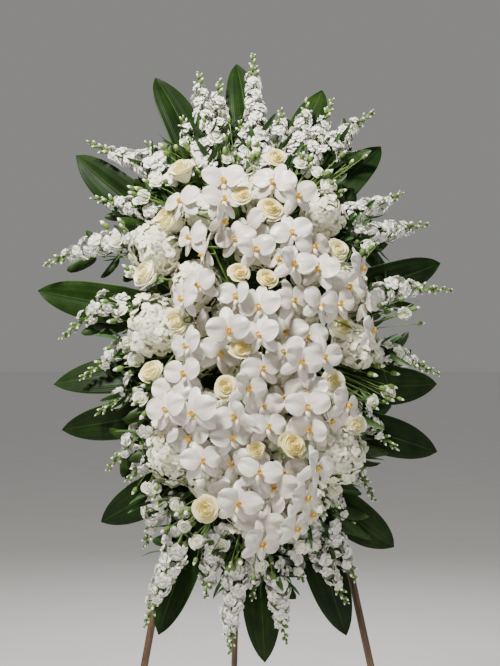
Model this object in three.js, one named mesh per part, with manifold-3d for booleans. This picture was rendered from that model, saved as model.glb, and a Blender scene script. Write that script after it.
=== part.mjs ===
// Standing funeral spray on a folding three-legged wooden easel. Millimetres, +Z up, facing -Y.
import * as THREE from "three";
import { mergeVertices } from "three/addons/utils/BufferGeometryUtils.js";
import Module from "manifold-3d";

const wasm = await Module();
wasm.setup();

// Easel
const lean = THREE.MathUtils.degToRad(12);
const poleLength = 1829;
const poleRadius = 8;
const poleSlope = 0.19;
const poleSides = 12;
const backPoleSwing = THREE.MathUtils.degToRad(30);
const headWidth = 52;
const headHeight = 60;
const boltRadius = 3;
const crossbarHeights = [1030, 1420];
const crossbarThickness = 12;
const crossbarDrop = 24;

// Foam, its cage and the gaps that touching pieces keep
const seat = 0.3;
const foamWidth = 110;
const foamHeight = 460;
const foamDepth = 78;
const foamBack = 30;
const foamMiddle = 1240;
const cageWire = 2;
const cageMargin = 0.4;
const holeDepth = 26;
const hubDepth = 3;
const spacing = 0.35;

// Sight lines of the photograph: where a column and a row of it lie at a depth before the poles
const pixel = 2.2;
const middleColumn = 252;
const middleRow = 333;
const middleHeight = 1275;
const viewDistance = 3200;
const viewTurn = THREE.MathUtils.degToRad(4.7);

// Depths before the pole plane
const leafDepth = 42;
const stockDepth = 78;
const hydrangeaDepth = 128;
const roseDepth = 172;
const lisianthusDepth = 120;
const orchidDepth = 238;
const orchidStemDepth = 205;

// Plant sizes
const bladeThickness = 0.9;
const leafWidth = 84;
const leafPleat = 3.2;
const leafProfile = [[0, 0.2], [0.3, 0.9], [0.62, 0.95], [0.86, 0.55], [1, 0.04]];
const floretRadius = 21;
const stockWhorls = 4;
const neckLength = 12;
const roseSides = 6;

const material = (color, roughness, metalness = 0) =>
  new THREE.MeshStandardMaterial({ color, roughness, metalness });
const wood = material("#8a5f3c", 0.7);
const steel = material("#b9bcc0", 0.35, 1);
const wire = material("#2f5a35", 0.5, 0.2);
const foamGreen = material("#2f5d3a", 0.95);
const leafGreen = material("#16331a", 0.3);
const orchidWhite = material("#f6f5f2", 0.6);
const stockWhite = material("#eceae2", 0.75);
const hydrangeaCream = material("#efeedd", 0.8);
const roseCream = material("#efe2b4", 0.65);
const lisianthusWhite = material("#f1efe0", 0.7);

// Seeded draws, so that every build is the same
let seed = 20417;
function draw(low, high) {
  seed = (seed * 1664525 + 1013904223) % 4294967296;
  return low + (high - low) * (seed / 4294967296);
}

const vector = (x, y, z) => new THREE.Vector3(x, y, z);

// A point of the spray, in its leaning frame, where the photograph shows it
const ahead = vector(Math.sin(viewTurn), Math.cos(viewTurn), 0);
const aside = vector(Math.cos(viewTurn), -Math.sin(viewTurn), 0);
const viewPoint = vector(0, middleHeight * Math.tan(lean), middleHeight)
  .addScaledVector(ahead, -viewDistance);
function spot(column, row, depth) {
  const ray = ahead.clone()
    .addScaledVector(aside, ((column - middleColumn) * pixel) / viewDistance)
    .addScaledVector(vector(0, 0, 1), ((middleRow - row) * pixel) / viewDistance);
  const inward = vector(0, Math.cos(lean), -Math.sin(lean));
  const reach = (-depth - viewPoint.dot(inward)) / ray.dot(inward);
  const world = viewPoint.clone().addScaledVector(ray, reach);
  return vector(world.x, -depth, world.y * Math.sin(lean) + world.z * Math.cos(lean));
}

// Closed bodies
function bareGeometry(geometry) {
  const bare = geometry.clone();
  bare.deleteAttribute("normal");
  bare.deleteAttribute("uv");
  return bare;
}

function solid(geometry, matrix) {
  const bare = bareGeometry(geometry);
  if (matrix) {
    bare.applyMatrix4(matrix);
  }
  const merged = mergeVertices(bare, 1e-4);
  const mesh = new wasm.Mesh({
    numProp: 3,
    vertProperties: new Float32Array(merged.attributes.position.array),
    triVerts: new Uint32Array(merged.index.array),
  });
  return new wasm.Manifold(mesh);
}

function geometryOf(body) {
  const mesh = body.getMesh();
  const geometry = new THREE.BufferGeometry();
  geometry.setAttribute("position", new THREE.BufferAttribute(mesh.vertProperties, 3));
  geometry.setIndex(new THREE.BufferAttribute(mesh.triVerts, 1));
  geometry.computeVertexNormals();
  return geometry;
}

function polygon(radius, sides) {
  const points = [];
  for (let i = 0; i < sides; i += 1) {
    const angle = (2 * Math.PI * (i + 0.5)) / sides;
    points.push(new THREE.Vector2(radius * Math.cos(angle), radius * Math.sin(angle)));
  }
  return new THREE.Shape(points);
}

// A stem or a wire: a section with few sides drawn along a path
function tube(points, radius, sides, steps) {
  const isStraight = points.length === 2;
  const extrudePath = isStraight ? new THREE.LineCurve3(...points) : new THREE.CatmullRomCurve3(points);
  return solid(new THREE.ExtrudeGeometry(polygon(radius, sides), { steps, extrudePath }));
}

// A small flower head: a lobed rim between a raised heart and a pointed base
function rosette(lobes, outer, inner, rise, heart, base) {
  const points = [0, 0, heart, 0, 0, -base];
  const faces = [];
  const rim = 2 * lobes;
  for (let i = 0; i < rim; i += 1) {
    const angle = (2 * Math.PI * i) / rim;
    const radius = i % 2 === 0 ? outer : inner;
    points.push(radius * Math.cos(angle), radius * Math.sin(angle), i % 2 === 0 ? rise : 0);
    const here = 2 + i;
    const next = 2 + ((i + 1) % rim);
    faces.push(0, here, next, 1, next, here);
  }
  const geometry = new THREE.BufferGeometry();
  geometry.setAttribute("position", new THREE.Float32BufferAttribute(points, 3));
  geometry.setIndex(faces);
  return geometry;
}

// A place for a head: where it is, which way it faces and how it is rolled
function aim(position, facing, roll = 0, scale = 1) {
  const front = facing.clone().normalize();
  const up = Math.abs(front.z) > 0.95 ? vector(0, 1, 0) : vector(0, 0, 1);
  const side = vector(0, 0, 0).crossVectors(up, front).normalize();
  const top = vector(0, 0, 0).crossVectors(front, side);
  const turn = new THREE.Matrix4().makeBasis(side, top, front);
  turn.multiply(new THREE.Matrix4().makeRotationZ(roll));
  turn.scale(vector(scale, scale, scale));
  return turn.setPosition(position);
}

// What is set so far. No plant may come nearer than the spacing to one of another node.
const placed = [];

function apart(a, b) {
  return [0, 1, 2].some((i) => a.min[i] > b.max[i] + spacing || b.min[i] > a.max[i] + spacing);
}

function isClear(body, node, ignored = []) {
  const box = body.boundingBox();
  return placed.every((other) =>
    other.node.split(" ")[0] === node || ignored.includes(other.node) || apart(box, other.box)
    || body.minGap(other.body, spacing) >= spacing);
}

function keep(body, node) {
  placed.push({ node, body, box: body.boundingBox() });
}

// Bend or shift what is tried until it lies clear of every other node, nearest way first
const shifts = [];
for (const forward of [0, 8, -8, 16, -16, 24, -24, 34, 46]) {
  for (const [sideways, upward] of [[0, 0], [9, 0], [-9, 0], [0, 9], [0, -9], [16, 12], [-16, -12]]) {
    shifts.push(vector(sideways, -forward, upward));
  }
}
shifts.sort((a, b) => a.length() - b.length());

function set(node, attempt, ignored = [], variants = [1]) {
  for (const variant of variants) {
    for (const shift of shifts) {
      const body = attempt(shift, variant);
      if (body && isClear(body, node, ignored)) {
        keep(body, node);
        return;
      }
    }
  }
}

// Roots: a stem stands in a plain hole of the foam, and its plants branch from its outer end
const roots = [];
const foamFront = foamBack + foamDepth;
const foamEdge = 9;
const clamp = (value, limit) => Math.max(-limit, Math.min(limit, value));

function rootOnSide(target, depth, shift) {
  const across = target.x / (foamWidth / 2);
  const along = (target.z - foamMiddle) / (foamHeight / 2);
  if (Math.abs(across) > Math.abs(along)) {
    const z = foamMiddle + clamp(0.6 * (target.z - foamMiddle) + shift.z, foamHeight / 2 - foamEdge);
    const out = vector(Math.sign(across), 0, 0);
    return { face: vector(out.x * (foamWidth / 2), -depth + shift.y, z), out };
  }
  const x = clamp(0.3 * target.x + shift.x, foamWidth / 2 - foamEdge);
  const out = vector(0, 0, Math.sign(along));
  return { face: vector(x, -depth + shift.y, foamMiddle + out.z * (foamHeight / 2)), out };
}

function rootInFront(target, shift) {
  const x = clamp(0.35 * target.x + shift.x, foamWidth / 2 - foamEdge);
  const z = foamMiddle + clamp(0.85 * (target.z - foamMiddle) + shift.z, foamHeight / 2 - foamEdge);
  return { face: vector(x, -foamFront, z), out: vector(0, -1, 0) };
}

const rootShifts = [];
for (let x = -40; x <= 40; x += 8) {
  for (let z = -160; z <= 160; z += 8) {
    rootShifts.push(vector(x, 0, z), vector(x, 8, z), vector(x, -9, z));
  }
}
rootShifts.sort((a, b) => a.length() - b.length());

// Find a root clear of all others: its inner end in the foam, and its outer end where plants branch
function findRoot(node, target, radius, place, standoff) {
  for (const shift of rootShifts) {
    const { face, out } = place(target, shift);
    const way = target.clone().sub(face).normalize().lerp(out, 0.5).normalize();
    const inner = face.clone().addScaledVector(way, -holeDepth);
    const outer = face.clone().addScaledVector(way, standoff);
    const room = tube([inner, outer.clone().addScaledVector(way, 6)], radius + 1.6, 4, 1);
    if (isClear(room, node, ["foam_block"])) {
      const root = { inner, outer, way, radius, room };
      roots.push(root);
      keep(room, node + " hole");
      return root;
    }
  }
  throw new Error("no room for the root of " + node);
}

// An aspidistra leaf in one body: its root, its petiole and a pleated blade, thickened alike on
// both faces. Each row across it has a middle, a half width, a thickness and a depth of pleat.
function aspidistraLeaf(root, base, tip, twist, arch) {
  const along = tip.clone().sub(base);
  const length = along.length();
  along.normalize();
  const front = vector(0, -1, 0).applyAxisAngle(along, twist);
  const across = vector(0, 0, 0).crossVectors(along, front).normalize();
  front.crossVectors(across, along).normalize();
  const rows = [
    { middle: root.inner.clone().addScaledVector(root.way, 6), half: 2, thickness: 4, pleat: 0 },
    { middle: root.outer, half: 2, thickness: 4, pleat: 0 },
  ];
  for (const [t, width] of leafProfile) {
    const middle = base.clone().addScaledVector(along, t * length)
      .addScaledVector(front, arch * Math.sin(Math.PI * t));
    const pleat = leafPleat * Math.sin(Math.PI * t);
    rows.push({ middle, half: (leafWidth / 2) * width, thickness: bladeThickness, pleat });
  }
  const columns = 5;
  const points = [];
  for (const face of [0, -1]) {
    for (const { middle, half, thickness, pleat } of rows) {
      for (let column = 0; column < columns; column += 1) {
        const s = (2 * column) / (columns - 1) - 1;
        const rise = pleat * (column % 2 === 0 ? -1 : 1) + 2 * pleat * s * s + (face + 0.5) * thickness;
        const point = middle.clone().addScaledVector(across, s * half).addScaledVector(front, rise);
        points.push(point.x, point.y, point.z);
      }
    }
  }
  const count = rows.length * columns;
  const faces = [];
  const quad = (a, b, c, d) => faces.push(a, b, c, a, c, d);
  for (let row = 0; row + 1 < rows.length; row += 1) {
    for (let column = 0; column + 1 < columns; column += 1) {
      const a = row * columns + column;
      const c = a + columns + 1;
      faces.push(a, a + 1, c, a, c, a + columns);
      faces.push(count + a, count + c, count + a + 1, count + a, count + a + columns, count + c);
    }
    const left = row * columns;
    const right = left + columns - 1;
    quad(left, left + columns, count + left + columns, count + left);
    quad(right, count + right, count + right + columns, right + columns);
  }
  const last = (rows.length - 1) * columns;
  for (let column = 0; column + 1 < columns; column += 1) {
    quad(column, count + column, count + column + 1, column + 1);
    quad(last + column, last + column + 1, count + last + column + 1, count + last + column);
  }
  const geometry = new THREE.BufferGeometry();
  geometry.setAttribute("position", new THREE.Float32BufferAttribute(points, 3));
  geometry.setIndex(faces);
  return solid(geometry);
}

// A closed body lofted through rings of points, with a pointed end before the first and after the last
function loft(rings, first, last) {
  const count = rings[0].length;
  const points = [first.x, first.y, first.z, last.x, last.y, last.z];
  const faces = [];
  rings.forEach((ring, row) => {
    ring.forEach((point, i) => {
      points.push(point.x, point.y, point.z);
      const here = 2 + row * count + i;
      const next = 2 + row * count + ((i + 1) % count);
      if (row === 0) {
        faces.push(0, next, here);
      }
      if (row === rings.length - 1) {
        faces.push(1, here, next);
      } else {
        faces.push(here, next, next + count, here, next + count, here + count);
      }
    });
  });
  const geometry = new THREE.BufferGeometry();
  geometry.setAttribute("position", new THREE.Float32BufferAttribute(points, 3));
  geometry.setIndex(faces);
  return geometry;
}

// A ring of points about an axis, its radius swinging between outer and inner
function lobedRing(centre, axis, outer, inner, count, phase, lift = 0) {
  const side = vector(0, 0, 0).crossVectors(axis, vector(0.2, -1, 0.1)).normalize();
  const top = vector(0, 0, 0).crossVectors(axis, side).normalize();
  const ring = [];
  for (let i = 0; i < count; i += 1) {
    const angle = (2 * Math.PI * i) / count;
    const isLobe = (i + phase) % 2 === 0;
    const radius = isLobe ? outer : inner;
    ring.push(centre.clone().addScaledVector(side, radius * Math.cos(angle))
      .addScaledVector(top, radius * Math.sin(angle)).addScaledVector(axis, isLobe ? lift : 0));
  }
  return ring;
}

// Flower heads. An orchid bloom has two round petals before three pointed sepals, each rim given
// as eight reaches about the axis for a bloom 100 wide, and a pedicel that starts in its stem.
const petalReach = [50, 47, 9, 47, 50, 36, 7, 36];
const sepalReach = [15, 17, 48, 17, 15, 47, 12, 47];
const lipForward = 9;
const leastJoin = 0.4;
function orchidBloom(stemPoint, place, facing, roll, span) {
  const scale = span / 100;
  const turn = aim(place, facing, roll, scale);
  const rim = (reaches, height, cup) => reaches.map((reach, i) => {
    const angle = (2 * Math.PI * i) / reaches.length;
    const point = vector(reach * Math.cos(angle), reach * Math.sin(angle), height + cup * reach);
    return point.applyMatrix4(turn);
  });
  const disc = (radius) => petalReach.map(() => radius);
  const rings = [rim(disc(2.5), -16, 0), rim(sepalReach, -9, 0.06), rim(disc(5), -4, 0),
    rim(petalReach, -2, 0.14)];
  return solid(loft(rings, stemPoint, vector(0, -7, lipForward).applyMatrix4(turn)));
}

function rose(radius) {
  const layers = [[1, 0.86, 0.08, 0], [0.62, 0.52, -0.02, 1], [0.66, 0.54, 0.34, 1], [0.3, 0.24, 0.2, 0]];
  const rings = layers.map(([outer, inner, height, phase]) => {
    const middle = vector(0, 0, height * radius);
    const lift = 0.1 * radius;
    return lobedRing(middle, vector(0, 0, 1), outer * radius, inner * radius, roseSides, phase, lift);
  });
  return loft(rings, vector(0, 0, -0.6 * radius), vector(0, 0, 0.48 * radius));
}

// A ball of florets: each hollow is a floret's middle and the peaks about it are its petals
function hydrangeaHead(radius) {
  const ball = mergeVertices(bareGeometry(new THREE.IcosahedronGeometry(1, 2)), 1e-4);
  const position = ball.attributes.position;
  const neighbours = Array.from({ length: position.count }, () => new Set());
  for (let i = 0; i < ball.index.count; i += 3) {
    const corners = [0, 1, 2].map((j) => ball.index.getX(i + j));
    corners.forEach((corner) => corners.forEach((other) => neighbours[corner].add(other)));
  }
  const isPetal = neighbours.map(() => false);
  const golden = (1 + Math.sqrt(5)) / 2;
  for (let i = 0; i < position.count; i += 1) {
    const point = vector(0, 0, 0).fromBufferAttribute(position, i);
    const [x, y, z] = [point.x, point.y, point.z].map(Math.abs);
    const toCorner = Math.max(y + golden * z, z + golden * x, x + golden * y) / Math.hypot(1, golden);
    const toFace = Math.max(x + y + z, x * golden + y / golden, y * golden + z / golden,
      z * golden + x / golden) / Math.sqrt(3);
    isPetal[i] = toCorner < 0.999 && toFace < 0.999;
    const reach = radius * (isPetal[i] ? draw(0.98, 1.08) : draw(0.78, 0.84));
    position.setXYZ(i, point.x * reach, point.y * reach, point.z * reach);
  }
  return ball;
}

// A stock spike along a path: a bare stem, whorls of ruffled florets and buds towards the tip
function stockSpike(hub, base, tip) {
  const way = base.clone().sub(hub).normalize();
  const rings = [lobedRing(hub.clone().addScaledVector(way, neckLength), way, 2.2, 2.2, 6, 0)];
  const axis = tip.clone().sub(base).normalize();
  const length = tip.distanceTo(base);
  for (let whorl = 0; whorl < stockWhorls; whorl += 1) {
    const t = (whorl + 0.3) / (stockWhorls + 0.4);
    const reach = floretRadius * (1.05 - 0.62 * t) * draw(0.88, 1.12);
    const centre = base.clone().addScaledVector(axis, t * length);
    const waist = centre.clone().addScaledVector(axis, (0.52 * length) / stockWhorls);
    rings.push(lobedRing(centre, axis, reach, 0.5 * reach, 6, whorl, 5));
    rings.push(lobedRing(waist, axis, 0.34 * reach, 0.34 * reach, 6, 0));
  }
  return solid(loft(rings, hub, tip));
}

const cupBloom = (radius) => rosette(4, radius, 0.7 * radius, 0.5 * radius, -0.1 * radius, 1.1 * radius);
const bud = (radius) => rosette(2, 0.6 * radius, 0.6 * radius, 0, 1.3 * radius, 1.1 * radius);

// A stem from the end of a root to the back of a head, swung aside at its middle
function branch(start, end, radius, swing) {
  const middle = start.clone().lerp(end, 0.5).add(swing);
  const way = middle.clone().sub(start).normalize();
  const onward = end.clone().sub(middle).normalize();
  const around = (point, axis) => {
    const side = vector(0, 0, 0).crossVectors(axis, vector(0.31, 0.2, 0.93)).normalize();
    return [0, 1, 2].map((i) =>
      point.clone().addScaledVector(side.clone().applyAxisAngle(axis, (2 * Math.PI * i) / 3), radius));
  };
  const rings = [around(start.clone().addScaledVector(way, neckLength), way), around(middle, onward),
    around(end, onward)];
  return solid(loft(rings, start, end.clone().addScaledVector(onward, 2)));
}

function facingOf(place, turn, tip, jitter) {
  const x = clamp(place.x / 450, 1) * 0.45 + Math.tan(THREE.MathUtils.degToRad(turn))
    + draw(-jitter, jitter);
  const z = clamp((place.z - foamMiddle) / 650, 1) * 0.45 + Math.tan(THREE.MathUtils.degToRad(tip))
    + draw(-jitter, jitter);
  return vector(x, -1, z).normalize();
}

// Easel, in the leaning frame of its front poles
const easel = new THREE.Group();
const sprayFrame = new THREE.Group();
sprayFrame.rotation.x = -lean;
easel.add(sprayFrame);

function addMesh(group, name, body, look) {
  const mesh = new THREE.Mesh(geometryOf(body), look);
  mesh.name = name;
  group.add(mesh);
}

// Plants, each list in the order that it is set in
const leafTips = [[160, 71, 0.3], [239, 58, 0.1], [320, 84, -0.3], [381, 140, -0.2], [445, 265, 0.4],
  [440, 386, 0.3], [440, 453, 0.2], [394, 550, 0.3], [344, 637, 0.3], [268, 663, -0.1], [154, 633, 0.3],
  [103, 525, -0.3], [62, 434, -0.4], [52, 377, 0.3], [36, 290, -0.2], [73, 154, -0.3]];
const leafReach = 330;

const hydrangeas = {
  hydrangea_left: [[158, 249, 54], [155, 328, 58]],
  hydrangea_left_low: [[176, 451, 60]],
  hydrangea_right: [[326, 212, 52], [355, 345, 48]],
  hydrangea_right_low: [[335, 452, 56]],
  hydrangea_middle: [[200, 350, 50], [292, 381, 50]],
};

const roses = {
  roses_left: [[183, 170, 26], [172, 222, 32], [147, 275, 27], [175, 322, 30], [153, 374, 24]],
  roses_top: [[271, 209, 28], [276, 158, 22], [242, 195, 23]],
  roses_right: [[337, 250, 26], [342, 327, 28], [333, 381, 24], [356, 425, 22]],
  roses_middle: [[239, 274, 24], [240, 348, 26], [226, 387, 25], [267, 280, 24]],
  roses_low: [[206, 509, 28], [296, 446, 28], [260, 455, 24]],
};

const stocks = {
  stock_top_left: [[199, 72, 207, 130], [220, 80, 218, 135], [182, 118, 192, 145], [147, 142, 165, 175]],
  stock_top: [[253, 55, 257, 135], [281, 110, 272, 155], [308, 100, 296, 155]],
  stock_top_right: [[332, 100, 308, 158], [373, 112, 335, 145], [401, 193, 355, 212], [427, 224, 370, 234]],
  stock_right: [[451, 290, 388, 290], [439, 374, 385, 352], [398, 449, 362, 416], [374, 500, 350, 462]],
  stock_bottom_right: [[354, 524, 325, 488], [347, 603, 308, 530], [303, 582, 288, 535]],
  stock_bottom: [[286, 642, 276, 575], [253, 598, 257, 548], [230, 653, 236, 580], [206, 597, 217, 540]],
  stock_bottom_left: [[145, 626, 170, 562], [161, 564, 186, 508], [145, 547, 160, 500],
    [128, 480, 158, 450]],
  stock_left: [[108, 469, 140, 435], [96, 414, 128, 390], [81, 378, 128, 345], [61, 339, 112, 302]],
  stock_left_top: [[45, 265, 115, 242], [93, 198, 150, 212], [89, 142, 150, 168]],
};

const orchids = {
  orchid_top_left: [[182, 202, 30, -45], [222, 200, 41, 0], [224, 181, 44, 10],
    [191, 238, 30, -50], [221, 222, 30, 45]],
  orchid_top: [[274, 183, 42, 0], [296, 198, 38, 20], [236, 238, 36, -20], [255, 250, 30, 40]],
  orchid_top_right: [[292, 233, 38, 0], [314, 245, 36, 30], [350, 246, 32, 50], [319, 270, 32, -30]],
  orchid_left: [[200, 284, 40, -15], [229, 331, 44, 0], [188, 346, 30, -50], [220, 352, 34, 30]],
  orchid_middle: [[260, 307, 42, 0], [260, 336, 38, 0], [292, 266, 36, 20], [284, 255, 34, -30],
    [293, 299, 30, 55]],
  orchid_right: [[319, 306, 34, 0], [350, 285, 34, 20], [290, 328, 36, -10], [287, 350, 38, 0],
    [346, 372, 32, 20], [323, 357, 32, -20]],
  orchid_left_low: [[186, 373, 34, -10], [167, 410, 36, -25], [194, 414, 46, 0],
    [191, 437, 44, 0], [202, 461, 30, 45]],
  orchid_middle_low: [[215, 396, 30, 20], [236, 416, 40, 0], [233, 437, 38, 0], [234, 460, 41, 0],
    [268, 426, 36, 0]],
  orchid_right_low: [[300, 363, 32, 0], [309, 389, 36, 0], [307, 408, 42, 0], [312, 428, 34, 0],
    [265, 403, 38, 0],
    [346, 405, 36, 50]],
  orchid_bottom_left: [[209, 490, 38, -20], [239, 503, 42, 0], [262, 524, 42, 0], [261, 543, 40, 0]],
  orchid_bottom_right: [[275, 485, 44, 0], [271, 507, 41, 0], [305, 497, 36, 45], [315, 468, 32, 20],
    [296, 527, 36, 40]],
};

const lisianthus = {
  lisianthus_left: [[121, 309, 13], [136, 360, 13], [117, 240, 13]],
  lisianthus_top: [[157, 182, 13], [177, 150, 8], [235, 158, 8], [329, 186, 15], [350, 165, 7]],
  lisianthus_right: [[404, 313, 12], [388, 392, 13], [382, 305, 7]],
  lisianthus_bottom: [[334, 491, 13], [324, 505, 11], [197, 542, 12], [240, 560, 10]],
};

// A box given by its lowest and highest corners
function block(low, high) {
  const size = high.clone().sub(low);
  const middle = low.clone().add(high).multiplyScalar(0.5);
  const geometry = new THREE.BoxGeometry(size.x, size.y, size.z);
  return solid(geometry, new THREE.Matrix4().makeTranslation(middle.x, middle.y, middle.z));
}

// Easel poles. The floor is level, so it lies tilted in the leaning frame and cuts each foot flat.
const topOffset = poleRadius + 1;
const poleTop = poleLength / Math.hypot(1, poleSlope);
const floorBlock = solid(
  new THREE.BoxGeometry(4000, 4000, 400),
  new THREE.Matrix4().makeRotationX(lean).multiply(new THREE.Matrix4().makeTranslation(0, 0, -200)),
);
const poleAt = (side, height) => vector(side * (topOffset + poleSlope * (poleTop - height)), 0, height);
const frontPole = (side) =>
  tube([poleAt(side, -30), poleAt(side, poleTop)], poleRadius, poleSides, 1).subtract(floorBlock);

// Head block: two ears behind a web, with the slot that the back pole swings in
const pivot = vector(0, 38, poleTop - 28);
const backTop = 22;
const backAngle = backPoleSwing;
const webFront = poleRadius + seat;
const webBack = pivot.y - backTop * Math.sin(backAngle) - poleRadius * Math.cos(backAngle) - seat;
const earBack = pivot.y + 12;
const slotHalf = poleRadius + 0.6;
const boltClear = boltRadius + seat;
const alongX = (radius, half, sides) =>
  tube([vector(-half, pivot.y, pivot.z), vector(half, pivot.y, pivot.z)], radius, sides, 1);
const headBlock = block(vector(-headWidth / 2, webFront, pivot.z - headHeight / 2),
  vector(headWidth / 2, earBack, pivot.z + headHeight / 2))
  .subtract(block(vector(-slotHalf, webBack, pivot.z - headHeight),
    vector(slotHalf, earBack + 1, pivot.z + headHeight)))
  .subtract(alongX(boltClear, headWidth, 12));
const boltHead = (side) => tube([
  vector(side * (headWidth / 2 + seat), pivot.y, pivot.z),
  vector(side * (headWidth / 2 + seat + 4), pivot.y, pivot.z),
], 2 * boltRadius, 6, 1);
const hingeBolt = alongX(boltRadius, headWidth / 2 + 3, 12).add(boltHead(-1)).add(boltHead(1));
const backWay = vector(0, Math.sin(backAngle), -Math.cos(backAngle));
const backPole = tube([
  pivot.clone().addScaledVector(backWay, -backTop),
  pivot.clone().addScaledVector(backWay, 2200),
], poleRadius, poleSides, 1).subtract(floorBlock).subtract(alongX(boltClear, headWidth, 12));

// Crossbars before the front poles
const crossbarBack = -(poleRadius + seat);
const crossbarFront = crossbarBack - crossbarThickness;
function crossbar(height) {
  const half = poleAt(1, height).x + 24;
  return block(vector(-half, crossbarFront, height - crossbarDrop / 2),
    vector(half, crossbarBack, height + crossbarDrop / 2));
}

// Foam, and the wire cage that hangs it on the crossbars by its hooks
const foamBox = block(vector(-foamWidth / 2, -foamFront, foamMiddle - foamHeight / 2),
  vector(foamWidth / 2, -foamBack, foamMiddle + foamHeight / 2));
function hoop(height) {
  const reach = foamWidth / 2 + cageMargin;
  const inner = block(vector(-reach, -foamFront - cageMargin, height - cageWire),
    vector(reach, -foamBack + cageMargin, height + cageWire));
  const outer = block(
    vector(-reach - cageWire, -foamFront - cageMargin - cageWire, height - cageWire / 2),
    vector(reach + cageWire, -foamBack + cageMargin + cageWire, height + cageWire / 2),
  );
  return outer.subtract(inner);
}
function rail(x) {
  const front = -foamBack + cageMargin + cageWire / 2;
  const low = foamMiddle - foamHeight / 2;
  const high = foamMiddle + foamHeight / 2;
  let bar = block(vector(x - 2, front, low), vector(x + 2, crossbarFront - seat, high));
  for (const height of crossbarHeights) {
    const top = height + crossbarDrop / 2 + seat;
    const back = crossbarBack + seat;
    bar = bar.add(block(vector(x - 2, front, top), vector(x + 2, back + 3, top + 3)))
      .add(block(vector(x - 2, back, top - 14), vector(x + 2, back + 3, top + 1)));
  }
  return bar;
}
const cage = [-150, 150].map((offset) => hoop(foamMiddle + offset)).concat([rail(-34), rail(34)])
  .reduce((sum, body) => sum.add(body));

keep(frontPole(-1), "pole_left");
keep(frontPole(1), "pole_right");
keep(headBlock, "head_block");
crossbarHeights.forEach((height) => keep(crossbar(height), "crossbars"));
keep(foamBox, "foam_block");
keep(cage, "foam_cage");

const meanOf = (points) =>
  points.reduce((sum, point) => sum.add(point), vector(0, 0, 0)).divideScalar(points.length);

// The spray is deepest in its middle and falls away towards its rim
function domed(column, row, depth) {
  const out = ((column - middleColumn) / 160) ** 2 + ((row - 355) / 260) ** 2;
  return depth * (1 - 0.3 * Math.min(1, out));
}

// Every plant node: where it heads for, how its root is placed and how it grows from there
const plants = [];
const fromSide = (depth) => (target, shift) => rootOnSide(target, depth, shift);

leafTips.forEach(([column, row, twist], i) => {
  const node = "leaf_" + String(i + 1).padStart(2, "0");
  const tip = spot(column, row, leafDepth);
  const grow = (root) => {
    const way = tip.clone().sub(root.outer);
    const length = Math.min(leafReach, way.length() - 30);
    way.normalize();
    set(node, (shift, variant) => {
      const base = tip.clone().addScaledVector(way, -length * variant).add(shift);
      return aspidistraLeaf(root, base, tip.clone().addScaledVector(shift, 0.25), twist * variant, 16);
    }, ["foam_block"], [1, 0.9, 0.8, 0.7]);
  };
  plants.push({ node, target: tip, radius: 3.4, place: fromSide(50), standoff: 14, grow });
});

for (const [node, spikes] of Object.entries(stocks)) {
  const ends = spikes.map(([tipColumn, tipRow, baseColumn, baseRow]) => ({
    tip: spot(tipColumn, tipRow, stockDepth - 10),
    base: spot(baseColumn, baseRow, stockDepth + 6),
  }));
  const grow = ({ outer, way }) => ends.forEach(({ tip, base }) => {
    const hub = outer.clone().addScaledVector(way, -hubDepth);
    set(node, (shift) =>
      stockSpike(hub, base.clone().add(shift), tip.clone().addScaledVector(shift, 0.6)));
  });
  const target = meanOf(ends.map(({ base }) => base));
  plants.push({ node, target, radius: 4, place: fromSide(82), standoff: 22, grow });
}

// Heads of one kind on stems that branch from one root
function addHeads(node, places, radius, place, headGeometry) {
  const grow = ({ outer, way }) => places.forEach(({ centre, facing, size }) => {
    const hub = outer.clone().addScaledVector(way, -hubDepth);
    const roll = draw(0, 1);
    set(node, (shift, scale) => {
      const middle = centre.clone().add(shift);
      const back = middle.clone().addScaledVector(facing, -0.3 * size * scale);
      return branch(hub, back, radius * 0.7, vector(shift.x, 0, shift.z))
        .add(solid(headGeometry(size * scale), aim(middle, facing, roll)));
    }, [], [1, 0.88, 0.76, 0.62]);
  });
  const target = meanOf(places.map(({ centre }) => centre));
  plants.push({ node, target, radius, place, standoff: 14, grow });
}

const headPlaces = (heads, depthAt, jitter) => heads.map(([column, row, across]) => {
  const centre = spot(column, row, depthAt(column, row));
  return { centre, facing: facingOf(centre, 0, 0, jitter), size: (across * pixel) / 2 };
});

for (const [node, heads] of Object.entries(hydrangeas)) {
  const places = headPlaces(heads, (column, row) => domed(column, row, hydrangeaDepth + 12), 0.2);
  addHeads(node, places, 4, fromSide(94), hydrangeaHead);
}

for (const [node, heads] of Object.entries(roses)) {
  const places = headPlaces(heads, (column, row) => domed(column, row, roseDepth + 8), 0.25);
  addHeads(node, places, 3, rootInFront, rose);
}

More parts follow.
